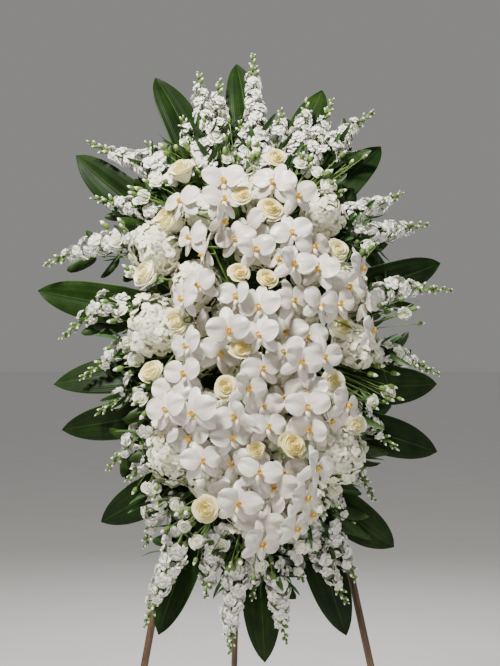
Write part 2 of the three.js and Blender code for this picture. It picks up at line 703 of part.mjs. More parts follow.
// Orchid sprays: a stem that passes behind its blooms, and a pedicel to each
for (const [node, blooms] of Object.entries(orchids)) {
  const places = blooms.map(([column, row, across, turn]) => {
    const centre = spot(column, row, domed(column, row, orchidDepth));
    return { centre, facing: facingOf(centre, turn, 0, 0.12), size: across * pixel };
  });
  const middle = meanOf(places.map(({ centre }) => centre));
  let samples = [];
  let stemBody = null;
  const lead = (root) => {
    const hub = root.outer;
    const chain = places.map(({ centre }) => centre).sort((a, b) => a.z - b.z);
    if (chain[0].distanceTo(hub) > chain[chain.length - 1].distanceTo(hub)) {
      chain.reverse();
    }
    set(node, (shift) => {
      const stem = chain.map((centre) => centre.clone().lerp(middle, 0.3)
        .add(vector(shift.x, orchidDepth - orchidStemDepth + shift.y / 4, shift.z)));
      const steps = stem.length + 3;
      samples = new THREE.CatmullRomCurve3([hub, ...stem]).getSpacedPoints(steps);
      samples[steps].lerp(samples[steps - 1], 0.12);
      stemBody = tube([hub, ...stem], 2.4, 3, steps);
      return stemBody;
    });
  };
  const grow = () => {
    for (const { centre, facing, size } of places) {
      const roll = draw(-0.35, 0.35);
      set(node, (shift, sunk) => {
        const place = centre.clone().add(shift);
        const nearest = samples.slice(1).reduce((best, point) =>
          (point.distanceTo(place) < best.distanceTo(place) ? point : best), samples[1]);
        const start = nearest.clone().add(nearest.clone().sub(place).setLength(sunk));
        const bloom = orchidBloom(start, place, facing, roll, size);
        return bloom.intersect(stemBody).volume() < leastJoin ? null : bloom;
      }, [], [1, 3, 6, 9]);
    }
  };
  plants.push({ node, target: middle, radius: 3, place: rootInFront, standoff: 16, lead, grow });
}

for (const [node, blooms] of Object.entries(lisianthus)) {
  const places = headPlaces(blooms, () => lisianthusDepth, 0.3);
  addHeads(node, places, 2.4, fromSide(66), (size) => (size > 11 ? cupBloom(size) : bud(size)));
}

// All roots take their places first, so that nothing grows across one
for (const plant of plants) {
  plant.root = findRoot(plant.node, plant.target, plant.radius, plant.place, plant.standoff);
}
for (const { node, root, lead } of plants) {
  if (!node.startsWith("leaf")) {
    keep(tube([root.inner, root.outer], root.radius, 4, 1), node);
  }
  if (lead) {
    lead(root);
  }
}
for (const { root, grow } of plants) {
  grow(root);
}

// The largest body of a joined plant, with any hollow that the joining sealed filled in
function filled(body) {
  return body.decompose().reduce((best, piece) => (piece.volume() > best.volume() ? piece : best));
}

// Foam with a plain hole for each root
const foam = roots.reduce((sum, { inner, outer, way, radius }) =>
  sum.subtract(tube([inner.clone().addScaledVector(way, -0.5), outer], 1.1 * radius + 0.6, 4, 1)), foamBox);

addMesh(sprayFrame, "pole_left", frontPole(-1), wood);
addMesh(sprayFrame, "pole_right", frontPole(1), wood);
addMesh(sprayFrame, "pole_back", backPole, wood);
addMesh(sprayFrame, "head_block", headBlock, wood);
addMesh(sprayFrame, "hinge_bolt", hingeBolt, steel);
addMesh(sprayFrame, "crossbar_lower", crossbar(crossbarHeights[0]), wood);
addMesh(sprayFrame, "crossbar_upper", crossbar(crossbarHeights[1]), wood);
addMesh(sprayFrame, "foam_block", foam, foamGreen);
addMesh(sprayFrame, "foam_cage", cage, wire);

const looks = { leaf: leafGreen, stock: stockWhite, hydrangea: hydrangeaCream, roses: roseCream,
  orchid: orchidWhite, lisianthus: lisianthusWhite };
for (const { node } of plants) {
  const bodies = placed.filter((item) => item.node === node).map(({ body }) => body);
  addMesh(sprayFrame, node, filled(bodies.reduce((sum, body) => sum.add(body))), looks[node.split("_")[0]]);
}

// The origin is the middle of the whole object's footprint, on the floor
easel.updateMatrixWorld(true);
const bounds = new THREE.Box3().setFromObject(easel, true);
easel.position.set(-(bounds.min.x + bounds.max.x) / 2, -(bounds.min.y + bounds.max.y) / 2, -bounds.min.z);

export default easel;
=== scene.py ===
# Standing funeral spray on a folding three-legged wooden easel. Metres, +Z up, facing -Y.
from math import acos, atan2, cos, hypot, pi, radians, sin, tan
import bpy
import numpy as np
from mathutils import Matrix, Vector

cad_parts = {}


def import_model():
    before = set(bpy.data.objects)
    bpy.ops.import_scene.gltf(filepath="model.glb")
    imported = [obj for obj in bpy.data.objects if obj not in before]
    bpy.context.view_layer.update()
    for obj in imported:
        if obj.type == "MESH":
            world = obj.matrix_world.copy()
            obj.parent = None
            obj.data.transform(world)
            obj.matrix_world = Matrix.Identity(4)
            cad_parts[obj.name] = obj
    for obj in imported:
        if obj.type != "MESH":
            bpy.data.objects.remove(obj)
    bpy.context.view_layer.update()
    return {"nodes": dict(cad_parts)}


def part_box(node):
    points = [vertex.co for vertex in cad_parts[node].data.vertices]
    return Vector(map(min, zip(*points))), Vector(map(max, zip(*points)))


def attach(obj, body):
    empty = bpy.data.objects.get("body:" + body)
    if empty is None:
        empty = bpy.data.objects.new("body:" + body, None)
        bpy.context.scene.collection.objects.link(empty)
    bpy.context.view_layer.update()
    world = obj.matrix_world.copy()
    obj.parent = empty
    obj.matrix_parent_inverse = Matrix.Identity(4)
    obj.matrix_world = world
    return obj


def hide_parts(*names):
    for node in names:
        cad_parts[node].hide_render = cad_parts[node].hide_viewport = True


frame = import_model()

# Easel and foam, as in the CAD model
LEAN = radians(12)
POLE_LENGTH = 1.829
POLE_RADIUS = 0.008
POLE_SLOPE = 0.19
POLE_TOP = POLE_LENGTH / hypot(1, POLE_SLOPE)
TOP_OFFSET = POLE_RADIUS + 0.001
BACK_SWING = radians(30)
BACK_POLE_HEAD = 0.022
PIVOT_BEHIND = 0.038
PIVOT_DROP = 0.028
EARS_BEHIND_PIVOT = 0.012
CROSSBAR_HEIGHTS = (1.03, 1.42)
CROSSBAR_THICKNESS = 0.012
CROSSBAR_DROP = 0.024
CROSSBAR_OVERHANG = 0.024
SEAT = 0.0003
FOAM_WIDTH = 0.11
FOAM_HEIGHT = 0.46
FOAM_FRONT = 0.108
FOAM_BACK = 0.03
FOAM_MIDDLE = 1.24
HOLE_DEPTH = 0.026

# Sight lines of the photograph, and the spray's oval in its pixels
PIXEL = 0.0022
IMAGE_HEIGHT = 666
SENSOR = 36.0
MIDDLE_COLUMN = 252
MIDDLE_ROW = 333
FRAME_MIDDLE_COLUMN = 250
MIDDLE_HEIGHT = 1.275
VIEW_DISTANCE = 3.2
VIEW_TURN = radians(4.7)
OVAL_ROW = 355
OVAL_HALF_WIDTH = 160
OVAL_HALF_HEIGHT = 260
DOME_FALL = 0.3

# Depths before the pole plane
LEAF_DEPTH = 0.042
STOCK_TIP_DEPTH = 0.068
STOCK_BASE_DEPTH = 0.084
HYDRANGEA_DEPTH = 0.14
ROSE_DEPTH = 0.18
FRONT_ROSE_DEPTH = 0.224
LISIANTHUS_DEPTH = 0.12
ORCHID_DEPTH = 0.238
ORCHID_STEM_DEPTH = 0.205


def rotation(angle, i, j):
    """A turn that takes axis i towards axis j."""
    turn = np.eye(3)
    turn[i, i] = turn[j, j] = cos(angle)
    turn[j, i] = sin(angle)
    turn[i, j] = -sin(angle)
    return turn


# The leaning frame of the front poles has x to the right, y towards the back and z up the poles
TURNED = rotation(-LEAN, 1, 2)
PIVOT = np.array([0.0, PIVOT_BEHIND, POLE_TOP - PIVOT_DROP])
HEAD_FRONT = POLE_RADIUS + SEAT
HEAD_MIDDLE = np.array([0.0, (HEAD_FRONT + PIVOT_BEHIND + EARS_BEHIND_PIVOT) / 2, PIVOT[2]])
head_low, head_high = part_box("head_block")
SHIFT = np.array((head_low + head_high) / 2) - TURNED @ HEAD_MIDDLE


norm = np.linalg.norm


def world(points):
    return np.asarray(points) @ TURNED.T + SHIFT


def leaning(points):
    return (np.asarray(points) - SHIFT) @ TURNED


def unit(v):
    v = np.asarray(v, float)
    return v / norm(v, axis=-1, keepdims=True)


AHEAD = np.array([sin(VIEW_TURN), cos(VIEW_TURN), 0])
ASIDE = np.array([cos(VIEW_TURN), -sin(VIEW_TURN), 0])
EYE = np.array([0, MIDDLE_HEIGHT * tan(LEAN), MIDDLE_HEIGHT]) - VIEW_DISTANCE * AHEAD
INWARD = np.array([0, cos(LEAN), -sin(LEAN)])


def spot(column, row, depth):
    """The point that the photograph shows at a column and a row, at a depth before the poles."""
    ray = (AHEAD + ASIDE * (column - MIDDLE_COLUMN) * PIXEL / VIEW_DISTANCE
           + np.array([0, 0, (MIDDLE_ROW - row) * PIXEL / VIEW_DISTANCE]))
    point = EYE + ray * ((-depth - EYE @ INWARD) / (ray @ INWARD))
    return np.array([point[0], -depth, point[1] * sin(LEAN) + point[2] * cos(LEAN)])


def domed(column, row, depth):
    """The point at that pixel on the spray's front, which is deepest in its middle."""
    out = ((column - MIDDLE_COLUMN) / OVAL_HALF_WIDTH) ** 2 + ((row - OVAL_ROW) / OVAL_HALF_HEIGHT) ** 2
    return spot(column, row, depth * (1 - DOME_FALL * min(1, out)))


def placed(name, data):
    """A new object in the scene."""
    made = bpy.data.objects.new(name, data)
    bpy.context.scene.collection.objects.link(made)
    return made


# Camera, as the photograph was taken
camera = placed("camera", bpy.data.cameras.new("camera"))
bpy.context.scene.camera = camera
camera.data.sensor_width = SENSOR
camera.data.lens = SENSOR * VIEW_DISTANCE / (IMAGE_HEIGHT * PIXEL)
camera.data.shift_x = (FRAME_MIDDLE_COLUMN - MIDDLE_COLUMN) / IMAGE_HEIGHT
camera.data.clip_end = 200
camera.location = EYE + SHIFT
camera.rotation_euler = (pi / 2, 0, -VIEW_TURN)

rng = np.random.default_rng(20417)
draw = rng.uniform
FULL_TURN = 2 * pi
GOLDEN = 2.39996

# Looks of faces, in the order of each piece's materials
PETAL, STRAP, BUD, STEM, SPRIG = range(5)
LIP, CALLUS = STRAP, BUD


def phase():
    return draw(0, 6)


def pick(shapes):
    return shapes[rng.integers(len(shapes))]


# Shapes are (points, quads, look of each quad, petal coordinates of each point)
def grid(points, look, closed=False):
    """A shape from an array of rows of points; petal coordinates run 0..1 along, -1..1 across."""
    rows, columns = points.shape[:2]
    index = np.arange(rows * columns).reshape(rows, columns)
    if closed:
        index = np.concatenate([index, index[:, :1]], axis=1)
    corners = [index[:-1, :-1], index[:-1, 1:], index[1:, 1:], index[1:, :-1]]
    quads = np.stack(corners, -1).reshape(-1, 4)
    petals = np.stack(uv(rows - 1, columns - 1), -1).reshape(-1, 2)
    return points.reshape(-1, 3), quads, np.full(len(quads), look), petals


def together(shapes):
    points, quads, looks, petals = zip(*shapes)
    starts = np.cumsum([0] + [len(part) for part in points[:-1]])
    quads = [part + start for part, start in zip(quads, starts)]
    return tuple(np.concatenate(part) for part in (points, quads, looks, petals))


def uv(rows, columns):
    return np.meshgrid(np.linspace(0, 1, rows + 1), np.linspace(-1, 1, columns + 1), indexing="ij")


def curve(points, steps):
    """A smooth line through points, in even steps of its parameter."""
    p = np.asarray(points, float)
    p = np.concatenate([2 * p[:1] - p[1:2], p, 2 * p[-1:] - p[-2:-1]])
    t = np.linspace(0, len(points) - 1, steps + 1)
    i = np.minimum(t.astype(int), len(points) - 2)
    f = (t - i)[:, None]
    a, b, c, d = p[i], p[i + 1], p[i + 2], p[i + 3]
    return 0.5 * (2 * b + (c - a) * f + (2 * a - 5 * b + 4 * c - d) * f ** 2
                  + (3 * b - a - 3 * c + d) * f ** 3)


def taper(steps, radii, places=(0, 1)):
    """Radii for steps + 1 points, from those at a few places between 0 and 1."""
    return np.interp(np.linspace(0, 1, steps + 1), places, radii)


def angles_of(count):
    return np.linspace(0, FULL_TURN, count, endpoint=False)


# A direction that no stem has at its root
SKEW_WAY = (0.31, 0.2, 0.93)


def pipe(path, radius, sides, look):
    """A stem along a path, closed to a point at both ends."""
    path = np.asarray(path, float)
    radius = np.broadcast_to(radius, len(path)).astype(float)
    way = unit(np.gradient(path, axis=0))
    side = unit(np.cross(way[0], SKEW_WAY))
    around = angles_of(sides)[:, None]
    rings = [np.repeat(path[:1], sides, 0)]
    for k in range(len(path)):
        side = unit(side - way[k] * (side @ way[k]))
        top = np.cross(way[k], side)
        rings.append(path[k] + radius[k] * (np.cos(around) * side + np.sin(around) * top))
    rings.append(np.repeat(path[-1:], sides, 0))
    return grid(np.stack(rings), look, closed=True)


def upright(z, radii, look):
    return pipe(np.stack([0 * z, 0 * z, z], -1), radii, 6, look)


def basis(facing, roll=0.0):
    """Columns are side, top and front, with the front along facing."""
    front = unit(facing)
    up = np.array([0, 1.0, 0]) if abs(front[2]) > 0.95 else np.array([0, 0, 1.0])
    side = unit(np.cross(up, front))
    top = np.cross(front, side)
    c, s = cos(roll), sin(roll)
    return np.stack([c * side + s * top, c * top - s * side, front], 1)


def polar(radius, angle, z):
    return np.stack([radius * np.cos(angle), radius * np.sin(angle), z], -1)


def blade_basis(way, other):
    """Columns for a blade that grows along way, with its edges square to other."""
    side = unit(np.cross(way, other))
    return np.stack([way, side, np.cross(way, side)], 1)


def moved(shape, centre, axes=None, scale=1.0):
    points = shape[0] * scale
    if axes is not None:
        points = points @ axes.T
    return (points + centre,) + shape[1:]


def smooth(x, low, high):
    t = np.clip((x - low) / (high - low), 0, 1)
    return t * t * (3 - 2 * t)


def bow(x):
    return np.sin(pi * x)


# Petals
def petal(length, width, rows, columns, look, skew=1.0, claw=0.0, form=None):
    """A petal along +X from the origin; form gives its height from its own coordinates."""
    u, v = uv(rows, columns)
    along = length * ((1 - np.cos(pi * u)) / 2) ** skew
    half = width / 2 * bow(np.clip(u, 0.02, 0.985)) ** 0.8
    if claw:
        half = half * (0.25 + 0.75 * smooth(along / length, 0, claw))
    across = half * v
    along = along - 0.06 * length * smooth(np.abs(v), 0.5, 1) * bow(u)
    height = form(along / length, across / (width / 2), v) if form else 0 * u
    return grid(np.stack([along, across, height], -1), look)


def spun(shape, angle, tilt=0.0, twist=0.0, at=(0, 0, 0)):
    """The shape twisted about its length, tilted forwards, turned about the front and put at a place."""
    return moved(shape, at, rotation(angle, 0, 1) @ rotation(tilt, 0, 2) @ rotation(twist, 1, 2))


# Sepals of a moth orchid: angle in degrees, length and width
ORCHID_SEPALS = ((90, 0.53, 0.32), (-134, 0.5, 0.28), (-46, 0.5, 0.28))


def orchid_bloom(fold):
    """A bloom 1 across: three sepals behind two round petals, a column and a three-lobed lip."""
    def big(along, across, v):
        fade = 1 - smooth(along, 0.82, 1)
        ripple = 0.034 * np.sin(4.4 * v + wave) * smooth(along, 0.3, 0.8) * (0.4 + 0.6 * fade)
        return (0.05 * bow(along) - 0.05 * across ** 2 * along + ripple - 0.06 * along ** 3
                - 0.034 * np.exp(-(6 * v) ** 2) * along * fade)

    def thin(along, across, v):
        return (0.04 * bow(along) - 0.05 * across ** 2 - 0.08 * along ** 2
                - 0.02 * np.exp(-(6 * v) ** 2) * along * (1 - smooth(along, 0.82, 1)))

    def wing(along, across, v):
        return 0.09 * across ** 2 + 0.05 * along

    def tongue(along, across, v):
        return 0.05 * bow(along) - 0.06 * across ** 2

    parts = []
    for right in (True, False):
        wave = phase()
        wide = petal(0.52, 0.5, 12, 12, PETAL, skew=0.86, claw=0.35, form=big)
        angle = radians(12 + draw(-3, 3))
        angle = angle if right else pi - angle
        tilt = draw(-0.06, 0.16) + fold
        parts.append(spun(wide, angle, tilt, draw(-0.18, 0.18), at=(0, 0.01, 0.012)))
    for degrees, length, width in ORCHID_SEPALS:
        sepal = petal(length, width, 10, 8, PETAL, skew=0.95, claw=0.3, form=thin)
        angle = radians(degrees + draw(-3, 3))
        parts.append(spun(sepal, angle, -0.06 - draw(0, 0.1), at=(0, 0, -0.02)))
    column = [[0, 0.012, -0.02], [0, 0.008, 0.03], [0, -0.004, 0.07], [0, -0.02, 0.085]]
    parts.append(pipe(curve(column, 5), [0.02, 0.024, 0.026, 0.03, 0.03, 0.014], 8, PETAL))
    for side in (1, -1):
        angle = radians(90 - 76 * side)
        lobe = petal(0.13, 0.12, 6, 6, CALLUS, form=wing)
        parts.append(spun(lobe, angle, 0.75, -0.5 * side, at=(0.012 * side, -0.045, 0.02)))
    lip = petal(0.17, 0.11, 8, 6, LIP, skew=0.7, form=tongue)
    parts.append(spun(lip, -pi / 2, 0.45, at=(0, -0.04, 0.015)))
    knob = [[-0.012, -0.05, 0.06], [0, -0.052, 0.068], [0.012, -0.05, 0.06]]
    parts.append(pipe(curve(knob, 3), 0.014, 6, CALLUS))
    for side in (-1, 1):
        whisker = [[0, -0.2, 0.09], [side * 0.02, -0.225, 0.1], [side * 0.035, -0.215, 0.115]]
        parts.append(pipe(curve(whisker, 4), [0.007, 0.005, 0.004, 0.003, 0.002], 4, LIP))
    return together(parts)


# Layers of a stock floret: number of petals, their reach and their tilt
STOCK_LAYERS = ((5, 1.0, 0.22), (5, 0.84, 0.6), (4, 0.62, 1.02))


def stock_floret():
    """A ruffled double floret, 1 in radius, opening towards +Z."""
    def ruffled(along, across, v):
        return (0.15 * np.sin(3.6 * v + wave) * smooth(along, 0.25, 1) + 0.16 * bow(along)
                - 0.16 * along ** 2)

    parts = []
    for layer, (count, reach, tilt) in enumerate(STOCK_LAYERS):
        rows, columns = 4 - layer // 2, 4 - (layer + 1) // 2
        for k in range(count):
            wave = phase()
            leaf = petal(reach, reach * 1.02, rows, columns, PETAL, skew=0.74, form=ruffled)
            angle = FULL_TURN * (k + 0.5 * layer) / count + draw(-0.2, 0.2)
            lean = tilt + draw(-0.15, 0.15)
            parts.append(spun(leaf, angle, lean, draw(-0.3, 0.3), at=(0, 0, 0.06 * layer)))
    parts.append(pipe([[0, 0, -0.4], [0, 0, 0.04]], [0.15, 0.12], 4, STEM))
    return together(parts)


def closed_bud():
    """A bud 1 long, green at its base, the petals just showing at its tip."""
    u = np.linspace(0, 1, 5)
    return together([upright(0.72 * u, [0.09, 0.24, 0.27, 0.24, 0.16], STEM),
                     upright(0.5 + 0.5 * u, [0.16, 0.19, 0.17, 0.12, 0.03], PETAL)])


def hydrangea_floret():
    """A four-petalled floret, 1 in radius."""
    def cupped(along, across, v):
        return (0.14 * bow(along) - 0.16 * across ** 2 * along
                + 0.05 * np.sin(3 * v + wave) * along - 0.12 * along ** 2)

    parts = []
    for k in range(4):
        wave = phase()
        leaf = petal(1.0, 1.06, 3, 3, PETAL, skew=0.85, claw=0.2, form=cupped)
        angle = pi / 2 * k + draw(-0.12, 0.12)
        parts.append(spun(leaf, angle, draw(0, 0.25), draw(-0.15, 0.15)))
    parts.append(pipe([[0, 0, 0.03], [0, 0, 0.11]], [0.1, 0.07], 3, BUD))
    return together(parts)


def rose_bloom(count, openness, tall=1.0):
    """A bloom 1 in radius: a tight spiral heart in petals that open and roll back at the rim."""
    parts = []
    u, v = uv(9, 8)
    for k in range(count):
        f = k / (count - 1)
        rim = 0.05 + 0.78 * f ** 0.95
        height = 0.5 - 0.14 * f - 0.26 * f ** 3 * openness + draw(-0.03, 0.03)
        span = radians(80 - 26 * f)
        curl = 0.085 + 0.15 * smooth(f, 0.35, 1) * openness
        edge = v + 0.12 * np.sin(3 * v + phase()) * u
        radial = rim * (0.75 * bow(0.5 * np.clip(u * 1.02, 0, 1)) ** 0.85 + 0.25 * u ** 2)
        radial = radial + curl * smooth(u, 0.68, 1.0) + 0.03 * np.sin(4 * v + phase()) * u ** 3
        dip = 0.12 * np.abs(v) ** 3
        z = -0.55 + (height + 0.6 - dip) * u ** 1.2 - curl * smooth(u, 0.78, 1.04)
        wrap = 0.35 + 0.65 * bow(0.5 * np.clip(u * 1.3, 0, 1))
        angle = GOLDEN * k + span * edge * wrap
        shape = grid(polar(radial * (1 + 0.1 * v * (1 - f)), angle, z * tall), PETAL)
        shape[3][:, 0] = 0.72 * f + 0.28 * shape[3][:, 0]
        parts.append(shape)
    u, v = uv(6, 14)
    height = tall * (0.38 - 0.14 * u - 0.26 * u ** 3 * openness)
    bed = grid(polar(0.02 + 0.7 * u, pi * v, height), PETAL)
    bed[3][:, 0] *= 0.6
    parts.append(bed)
    for k in range(5):
        sepal = petal(0.62, 0.2, 5, 2, STEM, skew=1.1)
        parts.append(spun(sepal, FULL_TURN * k / 5, -0.25, at=(0, 0, -0.55 * tall)))
    hip = -0.55 * tall - 0.2 + 0.3 * np.linspace(0, 1, 5)
    parts.append(upright(hip, [0.06, 0.14, 0.17, 0.15, 0.1], STEM))
    return together(parts)


def strap_leaf(length, width, look):
    bend = draw(-0.3, 0.5)
    roll = draw(-0.6, 0.6)

    def form(along, across, v):
        return (length * (bend * along ** 2 * 0.5 + 0.1 * bow(along))
                + width * (0.3 * across ** 2 + 0.06 * np.sin(6 * along + 2)))

    return spun(petal(length, width, 7, 4, look, skew=1.25, form=form), 0, 0, roll)


# Piece meshes
class Piece:
    """Everything that replaces one node, gathered in the leaning frame and made into one mesh."""

    def __init__(self, node, target=None, in_front=False, standoff=0.014):
        """For plants, also find the stem's inner end in the foam, its direction and where it branches."""
        self.node = node
        self.shapes = []
        self.tints = []
        if target is None:
            return
        points = leaning([v.co for v in frame["nodes"][node].data.vertices])
        inside = ((np.abs(points[:, 0]) < FOAM_WIDTH / 2 - SEAT)
                  & (points[:, 1] > -FOAM_FRONT + SEAT) & (points[:, 1] < -FOAM_BACK)
                  & (np.abs(points[:, 2] - FOAM_MIDDLE) < FOAM_HEIGHT / 2 - SEAT))
        self.inner = points[inside].mean(0)
        across = target[0] / (FOAM_WIDTH / 2)
        along = (target[2] - FOAM_MIDDLE) / (FOAM_HEIGHT / 2)
        if in_front:
            out = np.array([0, -1.0, 0])
        elif abs(across) > abs(along):
            out = np.array([np.sign(across), 0, 0])
        else:
            out = np.array([0, 0, np.sign(along)])
        self.way = out
        for _ in range(3):
            face = self.inner + self.way * HOLE_DEPTH
            self.way = unit(unit(target - face) * 0.5 + out * 0.5)
        self.outer = face + self.way * standoff
        self.start = [self.inner, self.outer]

    def add(self, shape, centre=(0, 0, 0), axes=None, scale=1.0):
        self.shapes.append(moved(shape, np.asarray(centre, float), axes, scale))
        self.tints.append(np.full(len(shape[0]), draw()))

    def stem(self, route, steps, radius, sides):
        """A stem through the points of a route. It gives back the stem's middle line."""
        path = curve(route, steps)
        self.add(pipe(path, radius, sides, STEM))
        return path

    def branch(self, back, radius):
        """A stem from the root to the back of a bloom."""
        middle = self.outer * 0.5 + back * 0.5 + self.way * 0.01
        self.stem(self.start + [middle, back], 14, radius, 7)

    def finish(self, name, materials, body="stand"):
        points, quads, looks, petals = together(self.shapes)
        mesh = bpy.data.meshes.new(name)
        mesh.from_pydata(world(points), [], quads.tolist())
        for material in materials:
            mesh.materials.append(material)
        mesh.polygons.foreach_set("material_index", looks.astype(np.int32))
        mesh.polygons.foreach_set("use_smooth", np.ones(len(quads), bool))
        values = {"along": petals[:, 0], "across": petals[:, 1], "tint": np.concatenate(self.tints)}
        for key, value in values.items():
            attribute = mesh.attributes.new(key, "FLOAT", "POINT")
            attribute.data.foreach_set("value", value.astype(np.float32))
        mesh.update(calc_edges=True)
        mesh.validate()
        made = placed(name, mesh)
        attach(made, body)
        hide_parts(self.node)


def rgb(text):
    """A colour given as the usual six hexadecimal digits, in linear values."""
    values = [int(text[i:i + 2], 16) / 255 for i in (1, 3, 5)]
    return tuple(v / 12.92 if v <= 0.04045 else ((v + 0.055) / 1.055) ** 2.4 for v in values)


# Materials
class Look:
    """A node-based material, built up in short steps."""

    def __init__(self, name, roughness, **inputs):
        self.material = bpy.data.materials.new(name)
        self.material.use_nodes = True
        self.tree = self.material.node_tree
        self.shader = self.tree.nodes["Principled BSDF"]
        values = {"Roughness": roughness, "Coat Roughness": 0.25, "Subsurface Radius": (0.6, 0.6, 0.5),
                  "Subsurface Scale": 0.004}
        for key, value in (values | inputs).items():
            self.shader.inputs[key.replace("_", " ")].default_value = value

    def node(self, kind, inputs=(), **settings):
        made = self.tree.nodes.new("ShaderNode" + kind)
        for key, value in settings.items():
            setattr(made, key, value)
        for key, value in dict(inputs).items():
            if isinstance(value, bpy.types.NodeSocket):
                self.tree.links.new(value, made.inputs[key])
            else:
                made.inputs[key].default_value = value
        return made

    def attribute(self, name):
        return self.node("Attribute", attribute_name=name).outputs["Fac"]

    def math(self, operation, a, b=0.0):
        return self.node("Math", {0: a, 1: b}, operation=operation).outputs[0]

    def times(self, a, b):
        return self.math("MULTIPLY", a, b)

    def sum(self, a, share_a, b, share_b):
        return self.math("ADD", self.times(a, share_a), self.times(b, share_b))

    def place(self, scale=(1, 1, 1)):
        coordinates = self.node("TexCoord").outputs["Object"]
        return self.node("Mapping", {"Vector": coordinates, "Scale": scale}).outputs[0]

    def vector(self, x, y, z):
        return self.node("CombineXYZ", {0: x, 1: y, 2: z}).outputs[0]

    def noise(self, scale, detail, vector=None, rough=0.5):
        inputs = {"Vector": vector or self.place(), "Scale": scale, "Detail": detail, "Roughness": rough}
        return self.node("TexNoise", inputs).outputs["Fac"]

    def cells(self, scale, vector=None):
        inputs = {"Vector": vector or self.place(), "Scale": scale}
        return self.node("TexVoronoi", inputs).outputs["Distance"]

    def ramp(self, value, *stops):
        made = self.node("ValToRGB", {"Fac": value})
        band = made.color_ramp
        while len(band.elements) < len(stops):
            band.elements.new(0.5)
        for element, (position, colour) in zip(band.elements, stops):
            element.position = position
            element.color = (*rgb(colour), 1)
        return made.outputs["Color"]

    def mix(self, factor, body, colour, blend="MIX"):
        inputs = {0: factor, 6: body, 7: (*rgb(colour), 1)}
        return self.node("Mix", inputs, data_type="RGBA", blend_type=blend).outputs[2]

    def colour(self, socket):
        self.tree.links.new(socket, self.shader.inputs["Base Color"])

    def roughness(self, value, low, high):
        spread = self.math("MULTIPLY_ADD", value, high - low)
        spread.node.inputs[2].default_value = low
        self.tree.links.new(spread, self.shader.inputs["Roughness"])

    def bump(self, height, strength, distance):
        made = self.node("Bump", {"Height": height, "Strength": strength, "Distance": distance})
        self.tree.links.new(made.outputs[0], self.shader.inputs["Normal"])


def petal_look(name, base, middle, edge, shade, veins, vein_depth, roughness=0.55, reach=0.25, sheen=0.15,
               subsurface=0.12):
    """Petals: a tinted base, veins that run along them, and a fine grain of cells. The shade colour darkens
    the body in soft clouds, per petal and along the veins; this is partly vein colour and random tone, and
    partly painted shade.
    """
    look = Look(name, roughness, Sheen_Weight=sheen, Subsurface_Weight=subsurface)
    along, across, tint = (look.attribute(key) for key in ("along", "across", "tint"))
    body = look.ramp(along, (0.0, base), (reach, middle), (1.0, edge))
    cloud = look.noise(55, 2)
    wander = look.times(cloud, 2.6)
    lines = look.math("ABSOLUTE", look.math("SINE", look.math("ADD", look.times(across, veins), wander)))
    thin = look.math("POWER", look.math("SUBTRACT", 1.0, lines), 3.0)
    # Painted shade: the shade colour laid over soft clouds, single petals and veins, which are also real tone
    # and vein colour
    for value, share in ((cloud, 0.35), (tint, 0.22), (thin, 0.25)):
        body = look.mix(look.times(value, share), body, shade, "MULTIPLY")
    look.colour(body)
    cells = look.noise(1400, 2)
    look.bump(look.sum(cells, 0.25, thin, -0.7), 0.5, vein_depth)
    look.roughness(cells, roughness - 0.12, roughness + 0.12)
    return look.material


def green_look(name, dark, light, roughness=0.5):
    look = Look(name, roughness, Specular_IOR_Level=0.25)
    patches = look.noise(38, 4)
    streaks = look.noise(420, 2, look.place((1, 1, 0.15)))
    look.colour(look.ramp(look.sum(patches, 0.6, streaks, 0.4), (0.3, dark), (0.7, light)))
    look.bump(streaks, 0.4, 0.0003)
    look.roughness(patches, roughness - 0.1, roughness + 0.1)
    return look.material


def leaf_look():
    """Glossy dark leaf with many parallel veins, a paler middle rib and a thin pale margin, which is a
    painted highlight along the rim.
    """
    look = Look("leaf_blade", 0.45, Specular_IOR_Level=0.12)
    across, tint = look.attribute("across"), look.attribute("tint")
    cloud = look.noise(24, 4)
    ribs, wide = (look.math("SINE", look.times(across, count)) for count in (62.0, 17.0))
    value = look.math("ADD", look.sum(ribs, 0.05, wide, 0.04), look.sum(cloud, 0.7, tint, 0.25))
    body = look.ramp(value, (0.2, "#0b1a05"), (0.5, "#172c0b"), (0.95, "#304a17"))
    side = look.math("ABSOLUTE", across)
    body = look.mix(look.times(look.math("LESS_THAN", side, 0.022), 0.26), body, "#5d7a3a")
    # Painted highlight: a thin pale band along the leaf's rim
    body = look.mix(look.times(look.math("GREATER_THAN", side, 0.97), 0.5), body, "#55703a")
    look.colour(body)
    fine = look.noise(700, 3)
    look.bump(look.sum(ribs, 0.35, fine, 0.3), 0.45, 0.0004)
    look.roughness(look.noise(60, 3), 0.38, 0.55)
    return look.material


def wood_look(name, stretch=None):
    """Peeled wood under dull varnish: long grain, darker knots and rubbed patches."""
    look = Look(name, 0.5, Coat_Weight=0.15)
    if stretch:
        fine, wide = look.place(stretch), look.place()
    else:
        around = look.times(look.attribute("across"), pi)
        length = look.times(look.attribute("along"), POLE_LENGTH)
        x, y = (look.times(look.math(wave, around), POLE_RADIUS) for wave in ("COSINE", "SINE"))
        fine, wide = look.vector(x, y, look.times(length, 0.06)), look.vector(x, y, length)
    grain = look.noise(520, 6, fine, 0.6)
    broad = look.noise(16, 3, wide)
    body = look.ramp(look.sum(grain, 0.65, broad, 0.4), (0.3, "#2d2016"), (0.5, "#503a29"), (0.72, "#786048"))
    knots = look.math("LESS_THAN", look.cells(9.0, wide), 0.07)
    look.colour(look.mix(look.times(knots, 0.6), body, "#2c1a0e"))
    look.bump(look.math("ADD", grain, look.times(knots, 0.4)), 0.5, 0.0005)
    look.roughness(grain, 0.4, 0.65)
    return look.material


def foam_look():
    """Wet floral foam: fine open cells and darker soaked patches."""
    look = Look("wet_foam", 0.9)
    cells = look.cells(900.0)
    soaked = look.noise(30, 4)
    look.colour(look.ramp(look.sum(cells, 0.5, soaked, 0.6), (0.25, "#132a19"), (0.75, "#27482e")))
    look.bump(cells, 0.8, 0.001)
    return look.material


